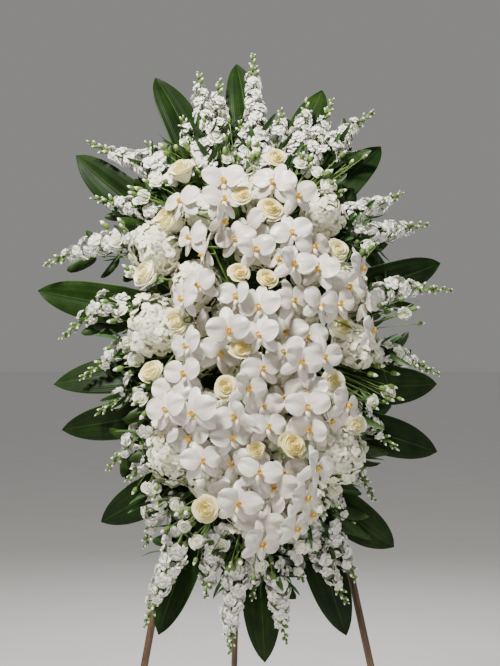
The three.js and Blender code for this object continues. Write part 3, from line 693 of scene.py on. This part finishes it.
def wire_look():
    look = Look("coated_wire", 0.42)
    worn = look.noise(160, 5)
    look.colour(look.ramp(worn, (0.35, "#1f4427"), (0.6, "#2f5d38"), (0.74, "#6d7a62")))
    look.bump(worn, 0.3, 0.0004)
    look.roughness(worn, 0.3, 0.6)
    return look.material


def steel_look():
    look = Look("zinc_steel", 0.35, Metallic=1.0)
    spangle = look.cells(260.0)
    scratches = look.noise(900, 3, look.place((1, 0.05, 1)))
    look.colour(look.ramp(look.sum(spangle, 0.5, scratches, 0.5), (0.2, "#8e9296"), (0.8, "#cfd2d6")))
    look.bump(scratches, 0.25, 0.0003)
    look.roughness(scratches, 0.25, 0.5)
    return look.material


stem_green = green_look("stem_green", "#3c5a26", "#7b9550")
strap_green = green_look("strap_green", "#20401e", "#4a6a3a", 0.45)
# Filler twigs: a leaf green, darkened further as painted shade behind the flowers
sprig_green_and_shade = green_look("sprig_green_and_shade", "#14290a", "#30491a", 0.45)
bud_green = green_look("bud_green", "#84984c", "#c2cc88")
blade_green = leaf_look()
greens = [strap_green, bud_green, stem_green, sprig_green_and_shade]
# Orchid petals: the greyer base colour is painted shade near the bloom's centre, and the shade grey is a
# painted petal shadow colour
orchid_petal = petal_look("orchid_petal", "#dcdcc4", "#f4efe8", "#faf7f1", "#b8b0a2", 15.0, 0.0004,
                          roughness=0.34, reach=0.22)
stock_petal = petal_look("stock_petal", "#e2e8c0", "#f7f6ef", "#fafaf6", "#e4e4d8", 13.0, 0.0002)
hydrangea_petal = petal_look("hydrangea_petal", "#e9ebc6", "#f6f5e6", "#f7f6ea", "#e6e8c8", 11.0, 0.0003)
velvet = {"roughness": 0.6, "reach": 0.5, "sheen": 0.2, "subsurface": 0.4}
rose_petal = petal_look("rose_petal", "#f5e895", "#f9f1c6", "#fafae8", "#f3f2d2", 24.0, 0.0002, **velvet)
rose_gold = petal_look("rose_gold", "#ead674", "#f2e5a2", "#f8f2d0", "#efe6ac", 24.0, 0.0002, **velvet)
lisianthus_petal = petal_look("lisianthus_petal", "#c9d69a", "#f0f0e0", "#f4f3ea", "#d9dcc0", 17.0, 0.0003)
lip_yellow = petal_look("orchid_lip", "#f4c832", "#fbf0cc", "#fbf8f0", "#efdcae", 14.0, 0.0002, reach=0.4)
knob_yellow = petal_look("orchid_callus", "#efc01c", "#f5d63c", "#fbe99a", "#efc468", 9.0, 0.0002, reach=0.55)
pole_wood = wood_look("pole_wood")
bar_wood = wood_look("bar_wood", (0.06, 1, 1))
block_wood = wood_look("block_wood", (1, 1, 0.08))

# Where each plant goes, in columns and rows of the photograph
# Leaf tips: column, row and twist in radians
leaf_tips = [
    [160, 71, 0.3], [239, 58, 0.1], [320, 84, -0.3], [381, 140, -0.2], [445, 265, 0.4], [440, 386, 0.3],
    [440, 453, 0.2], [394, 550, 0.3], [344, 637, 0.3], [268, 663, -0.1], [154, 633, 0.3],
    [103, 525, -0.3], [62, 434, -0.4], [52, 377, 0.3], [36, 290, -0.2], [73, 154, -0.3]
]
# Hydrangea heads: column, row and width in pixels
hydrangeas = {
    "hydrangea_left": [[158, 249, 54], [155, 328, 58], [196, 286, 52], [206, 212, 48]],
    "hydrangea_left_low": [[176, 451, 60], [206, 416, 54], [214, 476, 52], [178, 398, 46]],
    "hydrangea_right": [[256, 190, 38], [322, 216, 46], [355, 345, 48], [310, 264, 52], [346, 292, 50]],
    "hydrangea_right_low": [[335, 452, 56], [292, 446, 54], [318, 410, 48], [300, 500, 52]],
    "hydrangea_middle": [
        [200, 350, 50], [292, 381, 50], [246, 378, 52], [259, 244, 52], [238, 316, 52], [292, 322, 52],
        [250, 428, 52], [250, 506, 54]
    ],
}
# Roses: column, row and width, and where it leans its turn and tip in degrees
roses = {
    "roses_left": [
        [183, 172, 27, -14, 40], [171, 222, 33, -46, 22], [147, 275, 27, -44, 8], [175, 322, 31],
        [153, 374, 24, -20, 34]
    ],
    "roses_top": [[271, 209, 28], [276, 158, 22], [242, 195, 23]],
    "roses_right": [[337, 250, 26], [342, 327, 28], [333, 381, 24], [356, 425, 22]],
    "roses_middle": [
        [239, 273, 23, -4, 12], [240, 348, 25, 0, 10], [226, 387, 24, -8, 14], [267, 279, 23, 4, 10]
    ],
    "roses_low": [[206, 509, 27, -14, 0], [291, 446, 24, 10, 26], [256, 450, 19]],
}
# Stock spikes: column and row of the tip and of the base
stocks = {
    "stock_top_left": [
        [199, 72, 207, 130], [220, 80, 218, 135], [182, 118, 192, 145], [147, 142, 165, 175],
        [212, 108, 214, 158], [190, 132, 200, 168]
    ],
    "stock_top": [
        [253, 55, 257, 135], [281, 110, 272, 155], [308, 100, 296, 155], [240, 122, 242, 168],
        [286, 128, 280, 172], [262, 118, 262, 165]
    ],
    "stock_top_right": [
        [332, 100, 308, 158], [373, 112, 335, 145], [401, 193, 355, 212], [427, 224, 370, 234]
    ],
    "stock_right": [
        [451, 290, 388, 290], [439, 374, 385, 352], [398, 449, 362, 416], [374, 500, 350, 462]
    ],
    "stock_bottom_right": [
        [354, 524, 325, 488], [347, 603, 308, 530], [303, 582, 288, 535], [356, 580, 326, 528],
        [330, 566, 304, 520]
    ],
    "stock_bottom": [
        [286, 642, 276, 575], [253, 598, 257, 548], [230, 653, 236, 580], [206, 597, 217, 540]
    ],
    "stock_bottom_left": [
        [145, 626, 170, 562], [161, 564, 186, 508], [145, 547, 160, 500], [128, 480, 158, 450]
    ],
    "stock_left": [[108, 469, 140, 435], [96, 414, 128, 390], [81, 378, 128, 345], [61, 339, 112, 302]],
    "stock_left_top": [[45, 265, 115, 242], [93, 198, 150, 212], [89, 142, 150, 168]],
}
# Orchid blooms: column, row, width and turn, and in some its tip in degrees
orchids = {
    "orchid_top_left": [
        [182, 202, 30, -45], [222, 200, 41, 0], [224, 181, 44, 10], [191, 238, 30, -50],
        [221, 222, 30, 45, -40], [205, 255, 38, -60]
    ],
    "orchid_top": [
        [274, 183, 42, 0], [296, 198, 38, 20], [236, 238, 36, -20], [255, 250, 30, 40],
        [252, 222, 38, -55, -30]
    ],
    "orchid_top_right": [
        [292, 233, 38, 0], [314, 245, 36, 30], [350, 246, 32, 50], [319, 270, 32, -30],
        [338, 236, 38, 25], [360, 268, 38, 60]
    ],
    "orchid_left": [
        [200, 284, 40, -15], [229, 331, 44, 0], [188, 346, 30, -50], [220, 352, 34, 30],
        [196, 318, 38, -65], [184, 300, 36, -60]
    ],
    "orchid_middle": [
        [260, 307, 42, 0], [260, 336, 38, 0], [292, 266, 36, 20], [284, 255, 34, -30],
        [293, 299, 30, 55], [238, 296, 38, -40], [262, 368, 40, 10], [272, 284, 38, 60]
    ],
    "orchid_right": [
        [319, 306, 34, 0], [350, 285, 34, 20], [290, 328, 36, -10], [287, 350, 38, 0],
        [346, 372, 32, 20], [323, 357, 32, -20], [338, 304, 42, 20], [368, 300, 38, 62],
        [370, 330, 38, 68], [310, 332, 38, 30]
    ],
    "orchid_left_low": [
        [186, 373, 34, -10], [167, 410, 36, -25], [194, 414, 46, 0], [191, 437, 44, 0],
        [202, 461, 30, 45], [218, 370, 40, 10], [172, 390, 38, -55], [166, 432, 38, -60]
    ],
    "orchid_middle_low": [
        [215, 396, 30, 20], [236, 416, 40, 0], [233, 437, 38, 0], [234, 460, 41, 0], [268, 426, 36, 0],
        [246, 390, 38, 40], [260, 472, 40, -20]
    ],
    "orchid_right_low": [
        [300, 363, 32, 0], [309, 389, 36, 0], [307, 408, 42, 0], [312, 428, 34, 0], [265, 403, 38, 0],
        [346, 405, 36, 50], [288, 392, 38, -45], [330, 420, 38, 62]
    ],
    "orchid_bottom_left": [
        [209, 490, 38, -20, -60], [239, 503, 42, 0], [262, 524, 42, 0], [261, 543, 40, 0],
        [232, 486, 40, 20, -35]
    ],
    "orchid_bottom_right": [
        [275, 485, 44, 0], [271, 507, 41, 0], [305, 497, 36, 45], [315, 468, 32, 20], [296, 527, 36, 40],
        [290, 470, 40, -30, -20], [284, 522, 38, 15, -30], [312, 512, 38, 60]
    ],
}
# Lisianthus: column, row and width
lisianthus = {
    "lisianthus_left": [
        [121, 309, 13], [136, 360, 13], [117, 240, 13], [131, 272, 12], [140, 398, 12], [126, 342, 11],
        [148, 488, 12]
    ],
    "lisianthus_top": [
        [157, 182, 13], [177, 150, 8], [235, 158, 8], [329, 186, 15], [350, 165, 7], [216, 136, 13],
        [196, 162, 12], [252, 152, 12], [300, 163, 13], [226, 158, 11], [144, 196, 12], [318, 172, 11]
    ],
    "lisianthus_right": [
        [404, 313, 12], [388, 392, 13], [382, 305, 7], [372, 402, 12], [378, 360, 11], [362, 448, 12],
        [368, 246, 12]
    ],
    "lisianthus_bottom": [
        [334, 491, 13], [324, 505, 11], [197, 542, 12], [240, 560, 10], [222, 545, 12], [302, 548, 12],
        [176, 505, 12], [262, 566, 11], [184, 526, 11]
    ],
}

SPRAY_HALF_WIDTH = 0.45
SPRAY_HALF_HEIGHT = 0.65
OUTWARD_LOOK = 0.45


def facing_of(place, jitter, turn=0.0, tip=0.0):
    """Where a bloom looks: forwards, and more and more outwards towards the spray's rim."""
    x = np.clip(place[0] / SPRAY_HALF_WIDTH, -1, 1) * OUTWARD_LOOK + tan(radians(turn))
    z = (np.clip((place[2] - FOAM_MIDDLE) / SPRAY_HALF_HEIGHT, -1, 1) * OUTWARD_LOOK
         + tan(radians(tip)))
    return unit([x + draw(-jitter, jitter), -1, z + draw(-jitter, jitter)])


# Aspidistra leaves
LEAF_WIDTH = 0.084
LEAF_REACH = 0.33
LEAF_THICKNESS = 0.0008
LEAF_ARCH = 0.016
LEAF_DROOP = 0.035
LEAF_PLEAT = 0.0012
LEAST_PETIOLE = 0.03
leaf_outline = curve([[0, 0.14], [0.12, 0.5], [0.28, 0.82], [0.46, 1.0], [0.64, 1.0], [0.78, 0.86],
                      [0.88, 0.62], [0.95, 0.34], [1, 0.02]], 80)


def aspidistra(piece, base, tip, twist):
    along = unit(tip - base)
    length = norm(tip - base)
    across = unit(np.cross(along, [0, -1.0, 0]))
    front = np.cross(across, along)
    turn = rotation(-twist, 0, 1)[:2, :2]
    across, front = (np.stack([across, front], 1) @ turn).T
    u, v = uv(46, 20)
    half = LEAF_WIDTH / 2 * np.interp(u, leaf_outline[:, 0], leaf_outline[:, 1])
    body = np.sin(pi * u)
    wave = phase()
    pleats = -np.cos(2 * pi * v) * (1 - 0.3 * np.abs(v)) + 1.3 * v ** 2
    rise = (LEAF_ARCH * body - LEAF_DROOP * u ** 3 + LEAF_PLEAT * body * pleats
            + 0.0004 * np.sin(6 * pi * v) * body + 0.004 * np.sin(5 * u + wave + 1.5 * v) * v ** 2)
    sway = 0.012 * body * sin(wave)
    middle = base + along * (u[..., None] * length)
    blade = middle + across * (v * half + sway)[..., None] + front * rise[..., None]
    back = blade[:, ::-1] - front * LEAF_THICKNESS
    shape = grid(np.concatenate([blade, back], 1), PETAL, closed=True)
    shape[3][:, 1] = np.concatenate([v, v[:, ::-1]], 1).ravel()
    neck = (base + along * 0.05 * length + front * (LEAF_ARCH * 0.16 - 0.001)
            + across * 0.002 * sin(wave))
    bend = piece.outer * 0.45 + base * 0.55 + front * 0.004
    route = curve(piece.start + [bend, base - front * 0.001, neck], 16)
    radii = taper(16, (0.0026, 0.0028, 0.0026, 0.0012), (0, 0.3, 0.9, 1))
    piece.add(together([shape, pipe(route, radii, 8, STEM)]))


for number, (column, row, twist) in enumerate(leaf_tips, 1):
    tip = spot(column, row, LEAF_DEPTH)
    piece = Piece("leaf_%02d" % number, tip)
    reach = tip - piece.outer
    length = min(LEAF_REACH, norm(reach) - LEAST_PETIOLE)
    aspidistra(piece, tip - unit(reach) * length, tip, twist)
    piece.finish("aspidistra_" + piece.node, [blade_green] * 3 + [stem_green])


# Leafy twigs, which fill the space behind the flowers; their extra dark green is leaf colour and also painted
# shade in the gaps
SPRIG_LEAVES = 9
SPRIG_LEAF_LENGTH = (0.055, 0.085)
SPRIG_LEAF_WIDTH = (0.022, 0.034)


def sprig(piece, target):
    bend = (piece.outer + target) / 2 + draw(-0.02, 0.02, 3)
    path = piece.stem(piece.start + [bend, target], 18, taper(18, (0.002, 0.0009)), 5)
    for k in range(SPRIG_LEAVES):
        i = min(17, 6 + int(12 * k / (SPRIG_LEAVES - 1)))
        axis = unit(path[i + 1] - path[i - 1])
        out = unit(np.cross(axis, [0.1, -1, 0.1])) * (1 if k % 2 else -1)
        way = unit(out * draw(0.6, 1.0) + axis * 0.8 + draw(-0.3, 0.3, 3))
        axes = blade_basis(way, [draw(-0.3, 0.3), -1, draw(-0.3, 0.3)])
        leaf = strap_leaf(draw(*SPRIG_LEAF_LENGTH), draw(*SPRIG_LEAF_WIDTH), SPRIG)
        piece.add(leaf, path[i], axes)


# Stock spikes: florets round the stem, buds towards the tip, strap leaves below
florets = [stock_floret() for _ in range(5)]
bud = closed_bud()
FLORET_STEP = 0.0105
FLORET_CROWD = 1.55
FLORET_SIZE = 0.0184
FLORET_STANDOFF = 0.0196
STOCK_BUD_STEP = 0.0062
STOCK_BUD_LENGTH = 0.0185
STOCK_LEAVES = 9
STOCK_LEAF_LENGTH = (0.05, 0.085)
STOCK_LEAF_WIDTH = (0.009, 0.015)
SPRIGS_PER_SPIKE = 2
STOCK_STANDOFF = 0.022

# The share of a spike's length that its florets cover, and their fullness
USUAL_HABIT = (0.8, 1.0)
HABITS = {"stock_left": (0.68, 0.72), "stock_right": (0.66, 0.92), "stock_top_right": (0.74, 0.95),
          "stock_bottom_left": (0.76, 0.9), "stock_left_top": (0.76, 0.86)}


def stock_spike(piece, base, tip, share, fullness):
    swing = draw(-0.012, 0.012, 3)
    lower = piece.outer * 0.4 + base * 0.6 + swing
    upper = base * 0.5 + tip * 0.5 + swing / 2
    radii = taper(40, (0.0028, 0.0026, 0.0009), (0, 0.6, 1))
    path = piece.stem(piece.start + [lower, base, upper, tip], 40, radii, 6)
    line = path[-24:]
    reach = np.concatenate([[0], np.cumsum(norm(np.diff(line, axis=0), axis=1))])

    def on_line(distance):
        return np.array([np.interp(distance, reach, line[:, i]) for i in range(3)])

    def at(t):
        s = t * reach[-1]
        return on_line(s), unit(on_line(s + 0.004) - on_line(s - 0.004))

    first = max(0.02, 1 - norm(tip - base) / reach[-1] - 0.16)
    count = int((share - first) * reach[-1] / FLORET_STEP * FLORET_CROWD * fullness)
    turn = phase()
    for k in range(count):
        f = k / max(1, count - 1)
        point, axis = at(first + (share - first) * f)
        out = basis(axis, turn + GOLDEN * k)[:, 0]
        size = FLORET_SIZE * (1.06 - 0.4 * f ** 2) * draw(0.86, 1.1)
        facing = out * draw(0.8, 1.1) + axis * draw(0.25, 0.7) + draw(-0.15, 0.15, 3)
        centre = point + out * (FLORET_STANDOFF - 0.009 * f) * draw(0.75, 1.15) + axis * 0.004
        piece.add(pick(florets), centre, basis(facing, phase()), size)
    t, k = share, 0
    while t < 0.995:
        f = (t - share) / (1 - share)
        point, axis = at(t)
        out = basis(axis, turn + GOLDEN * k)[:, 0]
        facing = out * (0.9 - 0.6 * f) + axis * (0.6 + 0.6 * f)
        piece.add(bud, point + out * 0.002, basis(facing), STOCK_BUD_LENGTH - 0.009 * f)
        t += STOCK_BUD_STEP / reach[-1] * draw(0.7, 1.1)
        k += 1
    for _ in range(STOCK_LEAVES):
        point, axis = at(draw(0, first + 0.2))
        out = basis(axis, phase())[:, 0]
        way = unit(out * 0.9 + axis * draw(0.3, 1.0))
        leaf = strap_leaf(draw(*STOCK_LEAF_LENGTH), draw(*STOCK_LEAF_WIDTH), STRAP)
        piece.add(leaf, point, blade_basis(way, axis))


for node, spikes in stocks.items():
    ends = [(spot(tip_column, tip_row, STOCK_TIP_DEPTH), spot(column, row, STOCK_BASE_DEPTH))
            for tip_column, tip_row, column, row in spikes]
    piece = Piece(node, np.mean([base for _, base in ends], 0), standoff=STOCK_STANDOFF)
    for tip, base in ends:
        stock_spike(piece, base, tip, *HABITS.get(node, USUAL_HABIT))
        for _ in range(SPRIGS_PER_SPIKE):
            drift = draw(-0.035, 0.035, 3) + np.array([0, 0.03, 0])
            sprig(piece, base + (tip - base) * draw(-0.1, 0.3) + drift)
    piece.finish(node.replace("stock", "stock_spikes"), [stock_petal] + greens)


# Hydrangea heads: florets all over a lumpy core
hydrangea_florets = [hydrangea_floret() for _ in range(5)]
USUAL_HEAD_RADIUS = 0.06
FLORETS_PER_HEAD = 152
HEAD_BACK = -0.35
HEAD_FLORET_SIZE = (0.0105, 0.0135)
HEAD_STEM_RADIUS = 0.003


def hydrangea_head(piece, centre, facing, radius):
    axes = basis(facing)
    count = int(FLORETS_PER_HEAD * (radius / USUAL_HEAD_RADIUS) ** 2)
    k = np.arange(count)
    z = 1 - 2 * (k + 0.5) / count
    ring = np.sqrt(1 - z * z)
    places = polar(ring, GOLDEN * k, z)
    u = np.linspace(0.001, pi - 0.001, 9)[:, None]
    a = angles_of(14)[None]
    ball = polar(np.sin(u), a, np.cos(u) + 0 * a)
    stretch = np.array([draw(0.84, 0.98), draw(1.0, 1.14), 0.95])
    core = radius * (0.75 + 0.05 * np.sin(5 * a + 3 * u) * np.sin(4 * u))
    piece.add(grid(ball * stretch * core[..., None], PETAL, closed=True), centre, axes)
    lumps = draw(0, 6, 3)
    for place in places * stretch:
        if place[2] < HEAD_BACK:
            continue
        out = axes @ place
        tilt = out + draw(-0.6, 0.6, 3)
        bulge = 1 + 0.06 * np.sin(5 * place + lumps).sum()
        point = centre + out * radius * draw(0.86, 0.98) * bulge
        piece.add(pick(hydrangea_florets), point, basis(tilt, phase()),
                    draw(*HEAD_FLORET_SIZE))
    piece.branch(centre - facing * radius * 0.7, HEAD_STEM_RADIUS)


for node, heads in hydrangeas.items():
    centres = [domed(column, row, HYDRANGEA_DEPTH) for column, row, _ in heads]
    piece = Piece(node, np.mean(centres, 0))
    for centre, (_, _, across) in zip(centres, heads):
        hydrangea_head(piece, centre, facing_of(centre, 0.2), across * PIXEL / 2)
        sprig(piece, centre + np.array([draw(-0.07, 0.07), 0.03, draw(-0.07, 0.07)]))
    looks = [hydrangea_petal] + greens
    piece.finish(node.replace("hydrangea", "hydrangea_heads"), looks)


# Roses: open ones, and goblets where the photograph shows a rose from its side
rose_blooms = [rose_bloom(27, 1.0), rose_bloom(24, 0.85), rose_bloom(21, 0.7)]
rose_goblets = [rose_bloom(20, 0.35, 1.45), rose_bloom(18, 0.5, 1.3)]
SPRAY_ROSES = ("roses_top", "roses_middle", "roses_low")
USUAL_ROSE_LEAN = (0, 6)
GOBLET_LEAN = 30
GOBLET_SCALE = 1.2
OPEN_ROSE_SCALE = 0.96
ROSE_STEM_RADIUS = 0.0024
for node, heads in roses.items():
    spray = node in SPRAY_ROSES
    depth = FRONT_ROSE_DEPTH if spray else ROSE_DEPTH
    centres = [domed(column, row, depth) for column, row, *_ in heads]
    piece = Piece(node, np.mean(centres, 0), in_front=True)
    for centre, (_, _, across, *lean) in zip(centres, heads):
        turn, tip = lean or USUAL_ROSE_LEAN
        facing = facing_of(centre, 0.16, turn, tip)
        size = across * PIXEL / 2
        goblet = abs(turn) + abs(tip) > GOBLET_LEAN
        bloom = pick(rose_goblets if goblet else rose_blooms)
        scale = GOBLET_SCALE if goblet else OPEN_ROSE_SCALE
        piece.add(bloom, centre, basis(facing, phase()), size * scale)
        piece.branch(centre - facing * size * 0.65, ROSE_STEM_RADIUS)
    looks = [rose_gold if spray else rose_petal] + greens[:3]
    piece.finish(node.replace("roses", "rose_blooms"), looks)


# Orchid sprays
orchid_blooms = [orchid_bloom(fold) for fold in (0.0, 0.05, 0.0, 0.1, 0.05, 0.22, 0.38, 0.55)]
LAYERS = (0.0, 0.011, -0.013, -0.026, -0.039, -0.052)
LAYER_GAP = 0.012
BETTER_GAP = 0.003
NEIGHBOUR_REACH = 0.42
FOREMOST = -0.474
LEAST_BLOOM = 40
ROSE_CLEARANCE = 20
ORCHID_STANDOFF = 0.016
SWINGS = (0, 0, -30, 30)
STEM_BEHIND = np.array([0, ORCHID_DEPTH - ORCHID_STEM_DEPTH, 0])
set_blooms = []


def settled(centre, size):
    """The bloom moved forwards or back, so that it passes before or behind its neighbours."""
    best, best_gap = centre, -1
    for layer in LAYERS:
        place = centre + np.array([0, -layer, 0])
        gap = min([1.0] + [
            abs(place[1] - other[1]) for other, other_size in set_blooms
            if norm((place - other)[[0, 2]]) < NEIGHBOUR_REACH * (size + other_size)
        ])
        if gap > best_gap + BETTER_GAP:
            best, best_gap = place, gap
        if gap > LAYER_GAP:
            break
    set_blooms.append((best, size))
    return best


def before_rose(column, row):
    return any(hypot(column - rose[0], row - rose[1]) < ROSE_CLEARANCE
               for heads in roses.values() for rose in heads)


for node, blooms in orchids.items():
    places = []
    for column, row, across, turn, *tip in blooms:
        if before_rose(column, row):
            continue
        centre = domed(column, row, ORCHID_DEPTH)
        centre[1] += max(0, FOREMOST - world(centre)[1]) / cos(LEAN)
        size = max(across, LEAST_BLOOM) * PIXEL
        swung = turn + rng.choice(SWINGS)
        places.append((settled(centre, size), facing_of(centre, 0.22, swung, *tip), size))
    middle = np.mean([centre for centre, _, _ in places], 0)
    piece = Piece(node, middle, in_front=True, standoff=ORCHID_STANDOFF)
    chain = sorted((centre for centre, _, _ in places), key=lambda place: place[2])
    if norm(chain[0] - piece.outer) > norm(chain[-1] - piece.outer):
        chain.reverse()
    stem = [place * 0.7 + middle * 0.3 + STEM_BEHIND for place in chain]
    path = piece.stem(piece.start + stem, 30, taper(30, (0.003, 0.0016)), 7)
    for centre, facing, size in places:
        axes = basis(facing, draw(-0.3, 0.3))
        piece.add(pick(orchid_blooms), centre, axes, size * draw(1.0, 1.06))
        back = centre - facing * 0.02 * size / 0.09
        near = path[8:][np.argmin(norm(path[8:] - back, axis=1))]
        bend = (near + back) / 2 - facing * 0.008
        piece.stem([near, bend, back, centre], 10, 0.0014, 5)
    looks = [orchid_petal, lip_yellow, knob_yellow, stem_green]
    piece.finish(node.replace("orchid", "orchid_spray"), looks)


# Lisianthus: open cups, large green buds where the list gives a small width, and side shoots
lisianthus_blooms = [rose_bloom(10, 1.0), rose_bloom(9, 0.75)]
WIDEST_BUD = 10
CUP_SCALE = 0.62
CUP_DEPTH = 0.4
BUD_SCALE = 1.3
SIDE_LEAF = (0.05, 0.013)
SIDE_SHOOTS = 5
SHOOTS_WITH_BUDS = 3
SIDE_BUD_LENGTH = (0.016, 0.027)
for node, heads in lisianthus.items():
    centres = [spot(column, row, LISIANTHUS_DEPTH) for column, row, _ in heads]
    piece = Piece(node, np.mean(centres, 0))
    for centre, (_, _, across) in zip(centres, heads):
        facing = facing_of(centre, 0.3)
        size = across * PIXEL
        back = centre
        if across > WIDEST_BUD:
            bloom = pick(lisianthus_blooms)
            piece.add(bloom, centre, basis(facing, phase()), size * CUP_SCALE)
            back = centre - facing * size * CUP_DEPTH
        else:
            piece.add(bud, centre, basis(facing), size * BUD_SCALE)
        bend = piece.outer * 0.5 + back * 0.5 + draw(-0.02, 0.02, 3)
        path = piece.stem(piece.start + [bend, back], 16, 0.0015, 6)
        for k in range(SIDE_SHOOTS):
            start = path[rng.integers(7, 14)]
            end = back + draw(-0.03, 0.03, 3) + facing * 0.01
            bend = (start + end) / 2 + draw(-0.006, 0.006, 3)
            piece.stem([start, bend, end], 6, 0.0009, 5)
            way = unit(end - start)
            if k < SHOOTS_WITH_BUDS:
                piece.add(bud, end, basis(way), draw(*SIDE_BUD_LENGTH))
            else:
                piece.add(strap_leaf(*SIDE_LEAF, STRAP), start, blade_basis(way, [0, -1, 0.2]))
    looks = [lisianthus_petal] + greens[:3]
    piece.finish(node.replace("lisianthus", "lisianthus_stems"), looks)


# Easel poles: peeled round wood, slightly uneven, cut flat on the floor and rounded at the top
POLE_ROWS = 90
POLE_SIDES = 20
POLE_ROUNDING = 0.005
POLE_UNEVENNESS = 0.035
FOOT_SPARE = 0.02
BACK_POLE_REACH = 2.1


def pole(name, node, low, high, body="stand"):
    t = np.linspace(0, 1, POLE_ROWS)[:, None]
    way = unit(high - low)
    side = unit(np.cross(way, [0, 1, 0]))
    top = np.cross(way, side)
    around = angles_of(POLE_SIDES)
    centre = low + (high - low) * t
    uneven = 1 - POLE_UNEVENNESS * (1 + np.sin(9 * t + around) * np.sin(23 * t + 2 * around))
    past_rounding = np.clip(1 - norm(high - low) * (1 - t) / POLE_ROUNDING, 0, 1)
    radius = POLE_RADIUS * uneven * np.sqrt(np.clip(1 - past_rounding ** 2, 0.02, 1))
    ring = np.cos(around)[:, None] * side + np.sin(around)[:, None] * top
    first, last = (np.repeat(end[None, None], POLE_SIDES, 1) for end in (low, high))
    points = np.concatenate([first, centre[:, None] + radius[..., None] * ring, last])
    below = np.clip(-world(points)[..., 2:], 0, None)
    piece = Piece(node)
    piece.add(grid(points + way * below / (TURNED @ way)[2], PETAL, closed=True))
    piece.finish(name, [pole_wood], body)


for side, name in ((-1, "left"), (1, "right")):
    low = np.array([side * (TOP_OFFSET + POLE_SLOPE * (POLE_TOP + FOOT_SPARE)), 0, -FOOT_SPARE])
    pole("front_pole_" + name, "pole_" + name, low, np.array([side * TOP_OFFSET, 0, POLE_TOP]))
down = np.array([0, sin(BACK_SWING), -cos(BACK_SWING)])
pole("back_pole", "pole_back", PIVOT + down * BACK_POLE_REACH, PIVOT - down * BACK_POLE_HEAD, "back_leg")

# Crossbars and foam: long pieces with a rounded section
BAR_SIDES = 32
SECTION_POWER = 7


def bar(low, high, axis, rounding, rows, dents=0):
    """A closed bar along an axis, with rounded edges and, if asked, small random dents."""
    low, high = np.array(low), np.array(high)
    middle, half = (low + high) / 2, (high - low) / 2
    others = [i for i in range(3) if i != axis]
    c, s = np.cos(angles_of(BAR_SIDES)), np.sin(angles_of(BAR_SIDES))
    radius = (np.abs(c) ** SECTION_POWER + np.abs(s) ** SECTION_POWER) ** (-1 / SECTION_POWER)
    t = np.concatenate([[-1, -1], np.linspace(-1, 1, rows), [1, 1]])
    size = np.ones(len(t))
    size[[0, -1]] = 0
    size[[1, -2]] = 1 - rounding / min(half[others])
    points = np.zeros((len(t), BAR_SIDES, 3))
    points[..., axis] = (t * half[axis])[:, None]
    points[2, :, axis] += rounding
    points[-3, :, axis] -= rounding
    for i, wave in zip(others, (c, s)):
        points[..., i] = radius * wave * half[i] * size[:, None]
    if dents:
        points = points - draw(0, dents, points.shape[:2])[..., None] * unit(points + 1e-9)
    return grid(points + middle, PETAL, closed=True)


for name, height in zip(("lower", "upper"), CROSSBAR_HEIGHTS):
    half = TOP_OFFSET + POLE_SLOPE * (POLE_TOP - height) + CROSSBAR_OVERHANG
    back = -HEAD_FRONT
    piece = Piece("crossbar_" + name)
    piece.add(bar([-half, back - CROSSBAR_THICKNESS, height - CROSSBAR_DROP / 2],
                    [half, back, height + CROSSBAR_DROP / 2], axis=0, rounding=0.0012, rows=40))
    piece.finish("easel_crossbar_" + name, [bar_wood])
piece = Piece("foam_block")
piece.add(bar([-FOAM_WIDTH / 2, -FOAM_FRONT, FOAM_MIDDLE - FOAM_HEIGHT / 2],
                [FOAM_WIDTH / 2, -FOAM_BACK, FOAM_MIDDLE + FOAM_HEIGHT / 2],
                axis=2, rounding=0.003, rows=90, dents=0.0009))
piece.finish("wet_foam_block", [foam_look()])

for node, material in (("head_block", block_wood), ("foam_cage", wire_look()), ("hinge_bolt", steel_look())):
    mesh = frame["nodes"][node].data
    mesh.materials.clear()
    mesh.materials.append(material)

# Floor and light
FLOOR_RADIUS = 45.0
FLOOR_SIDES = 96
SPRAY_MIDDLE = (0, -0.1, 1.2)
SPRAY_TOP = (0, -0.1, 1.5)
SKY_COLOUR = (0.64, 0.632, 0.62, 1)
SKY_STRENGTH = 0.4

paint = Look("pale_floor", 0.85)
cloud = paint.noise(3, 4)
paint.colour(paint.ramp(cloud, (0.3, "#f3f2ef"), (0.7, "#f7f6f4")))
mesh = bpy.data.meshes.new("floor")
turns = [FULL_TURN * k / FLOOR_SIDES for k in range(FLOOR_SIDES)]
rim = [(FLOOR_RADIUS * cos(a), FLOOR_RADIUS * sin(a), 0) for a in turns]
mesh.from_pydata(rim, [], [list(range(FLOOR_SIDES))])
mesh.materials.append(paint.material)
floor = placed("floor", mesh)


def soft_light(name, place, target, size, power, colour):
    light = bpy.data.lights.new(name, "AREA")
    light.shape = "DISK"
    light.size = size
    light.energy = power
    light.color = colour
    lamp = placed(name, light)
    lamp.location = place
    way = unit(np.array(target) - np.array(place))
    lamp.rotation_euler = (acos(-way[2]), 0, atan2(way[1], way[0]) - pi / 2)


soft_light("key", (-0.95, -1.6, 3.3), SPRAY_TOP, size=0.55, power=172, colour=(1.0, 0.955, 0.885))
soft_light("fill", (2.6, -2.4, 1.8), SPRAY_MIDDLE, size=2.4, power=14, colour=(1.0, 0.98, 0.95))
soft_light("back", (0.4, 3.0, 3.2), SPRAY_MIDDLE, size=2.0, power=60, colour=(1.0, 1.0, 1.0))
sky = bpy.data.worlds.new("studio")
sky.use_nodes = True
backdrop = sky.node_tree.nodes["Background"].inputs
backdrop["Color"].default_value = SKY_COLOUR
backdrop["Strength"].default_value = SKY_STRENGTH
bpy.context.scene.world = sky
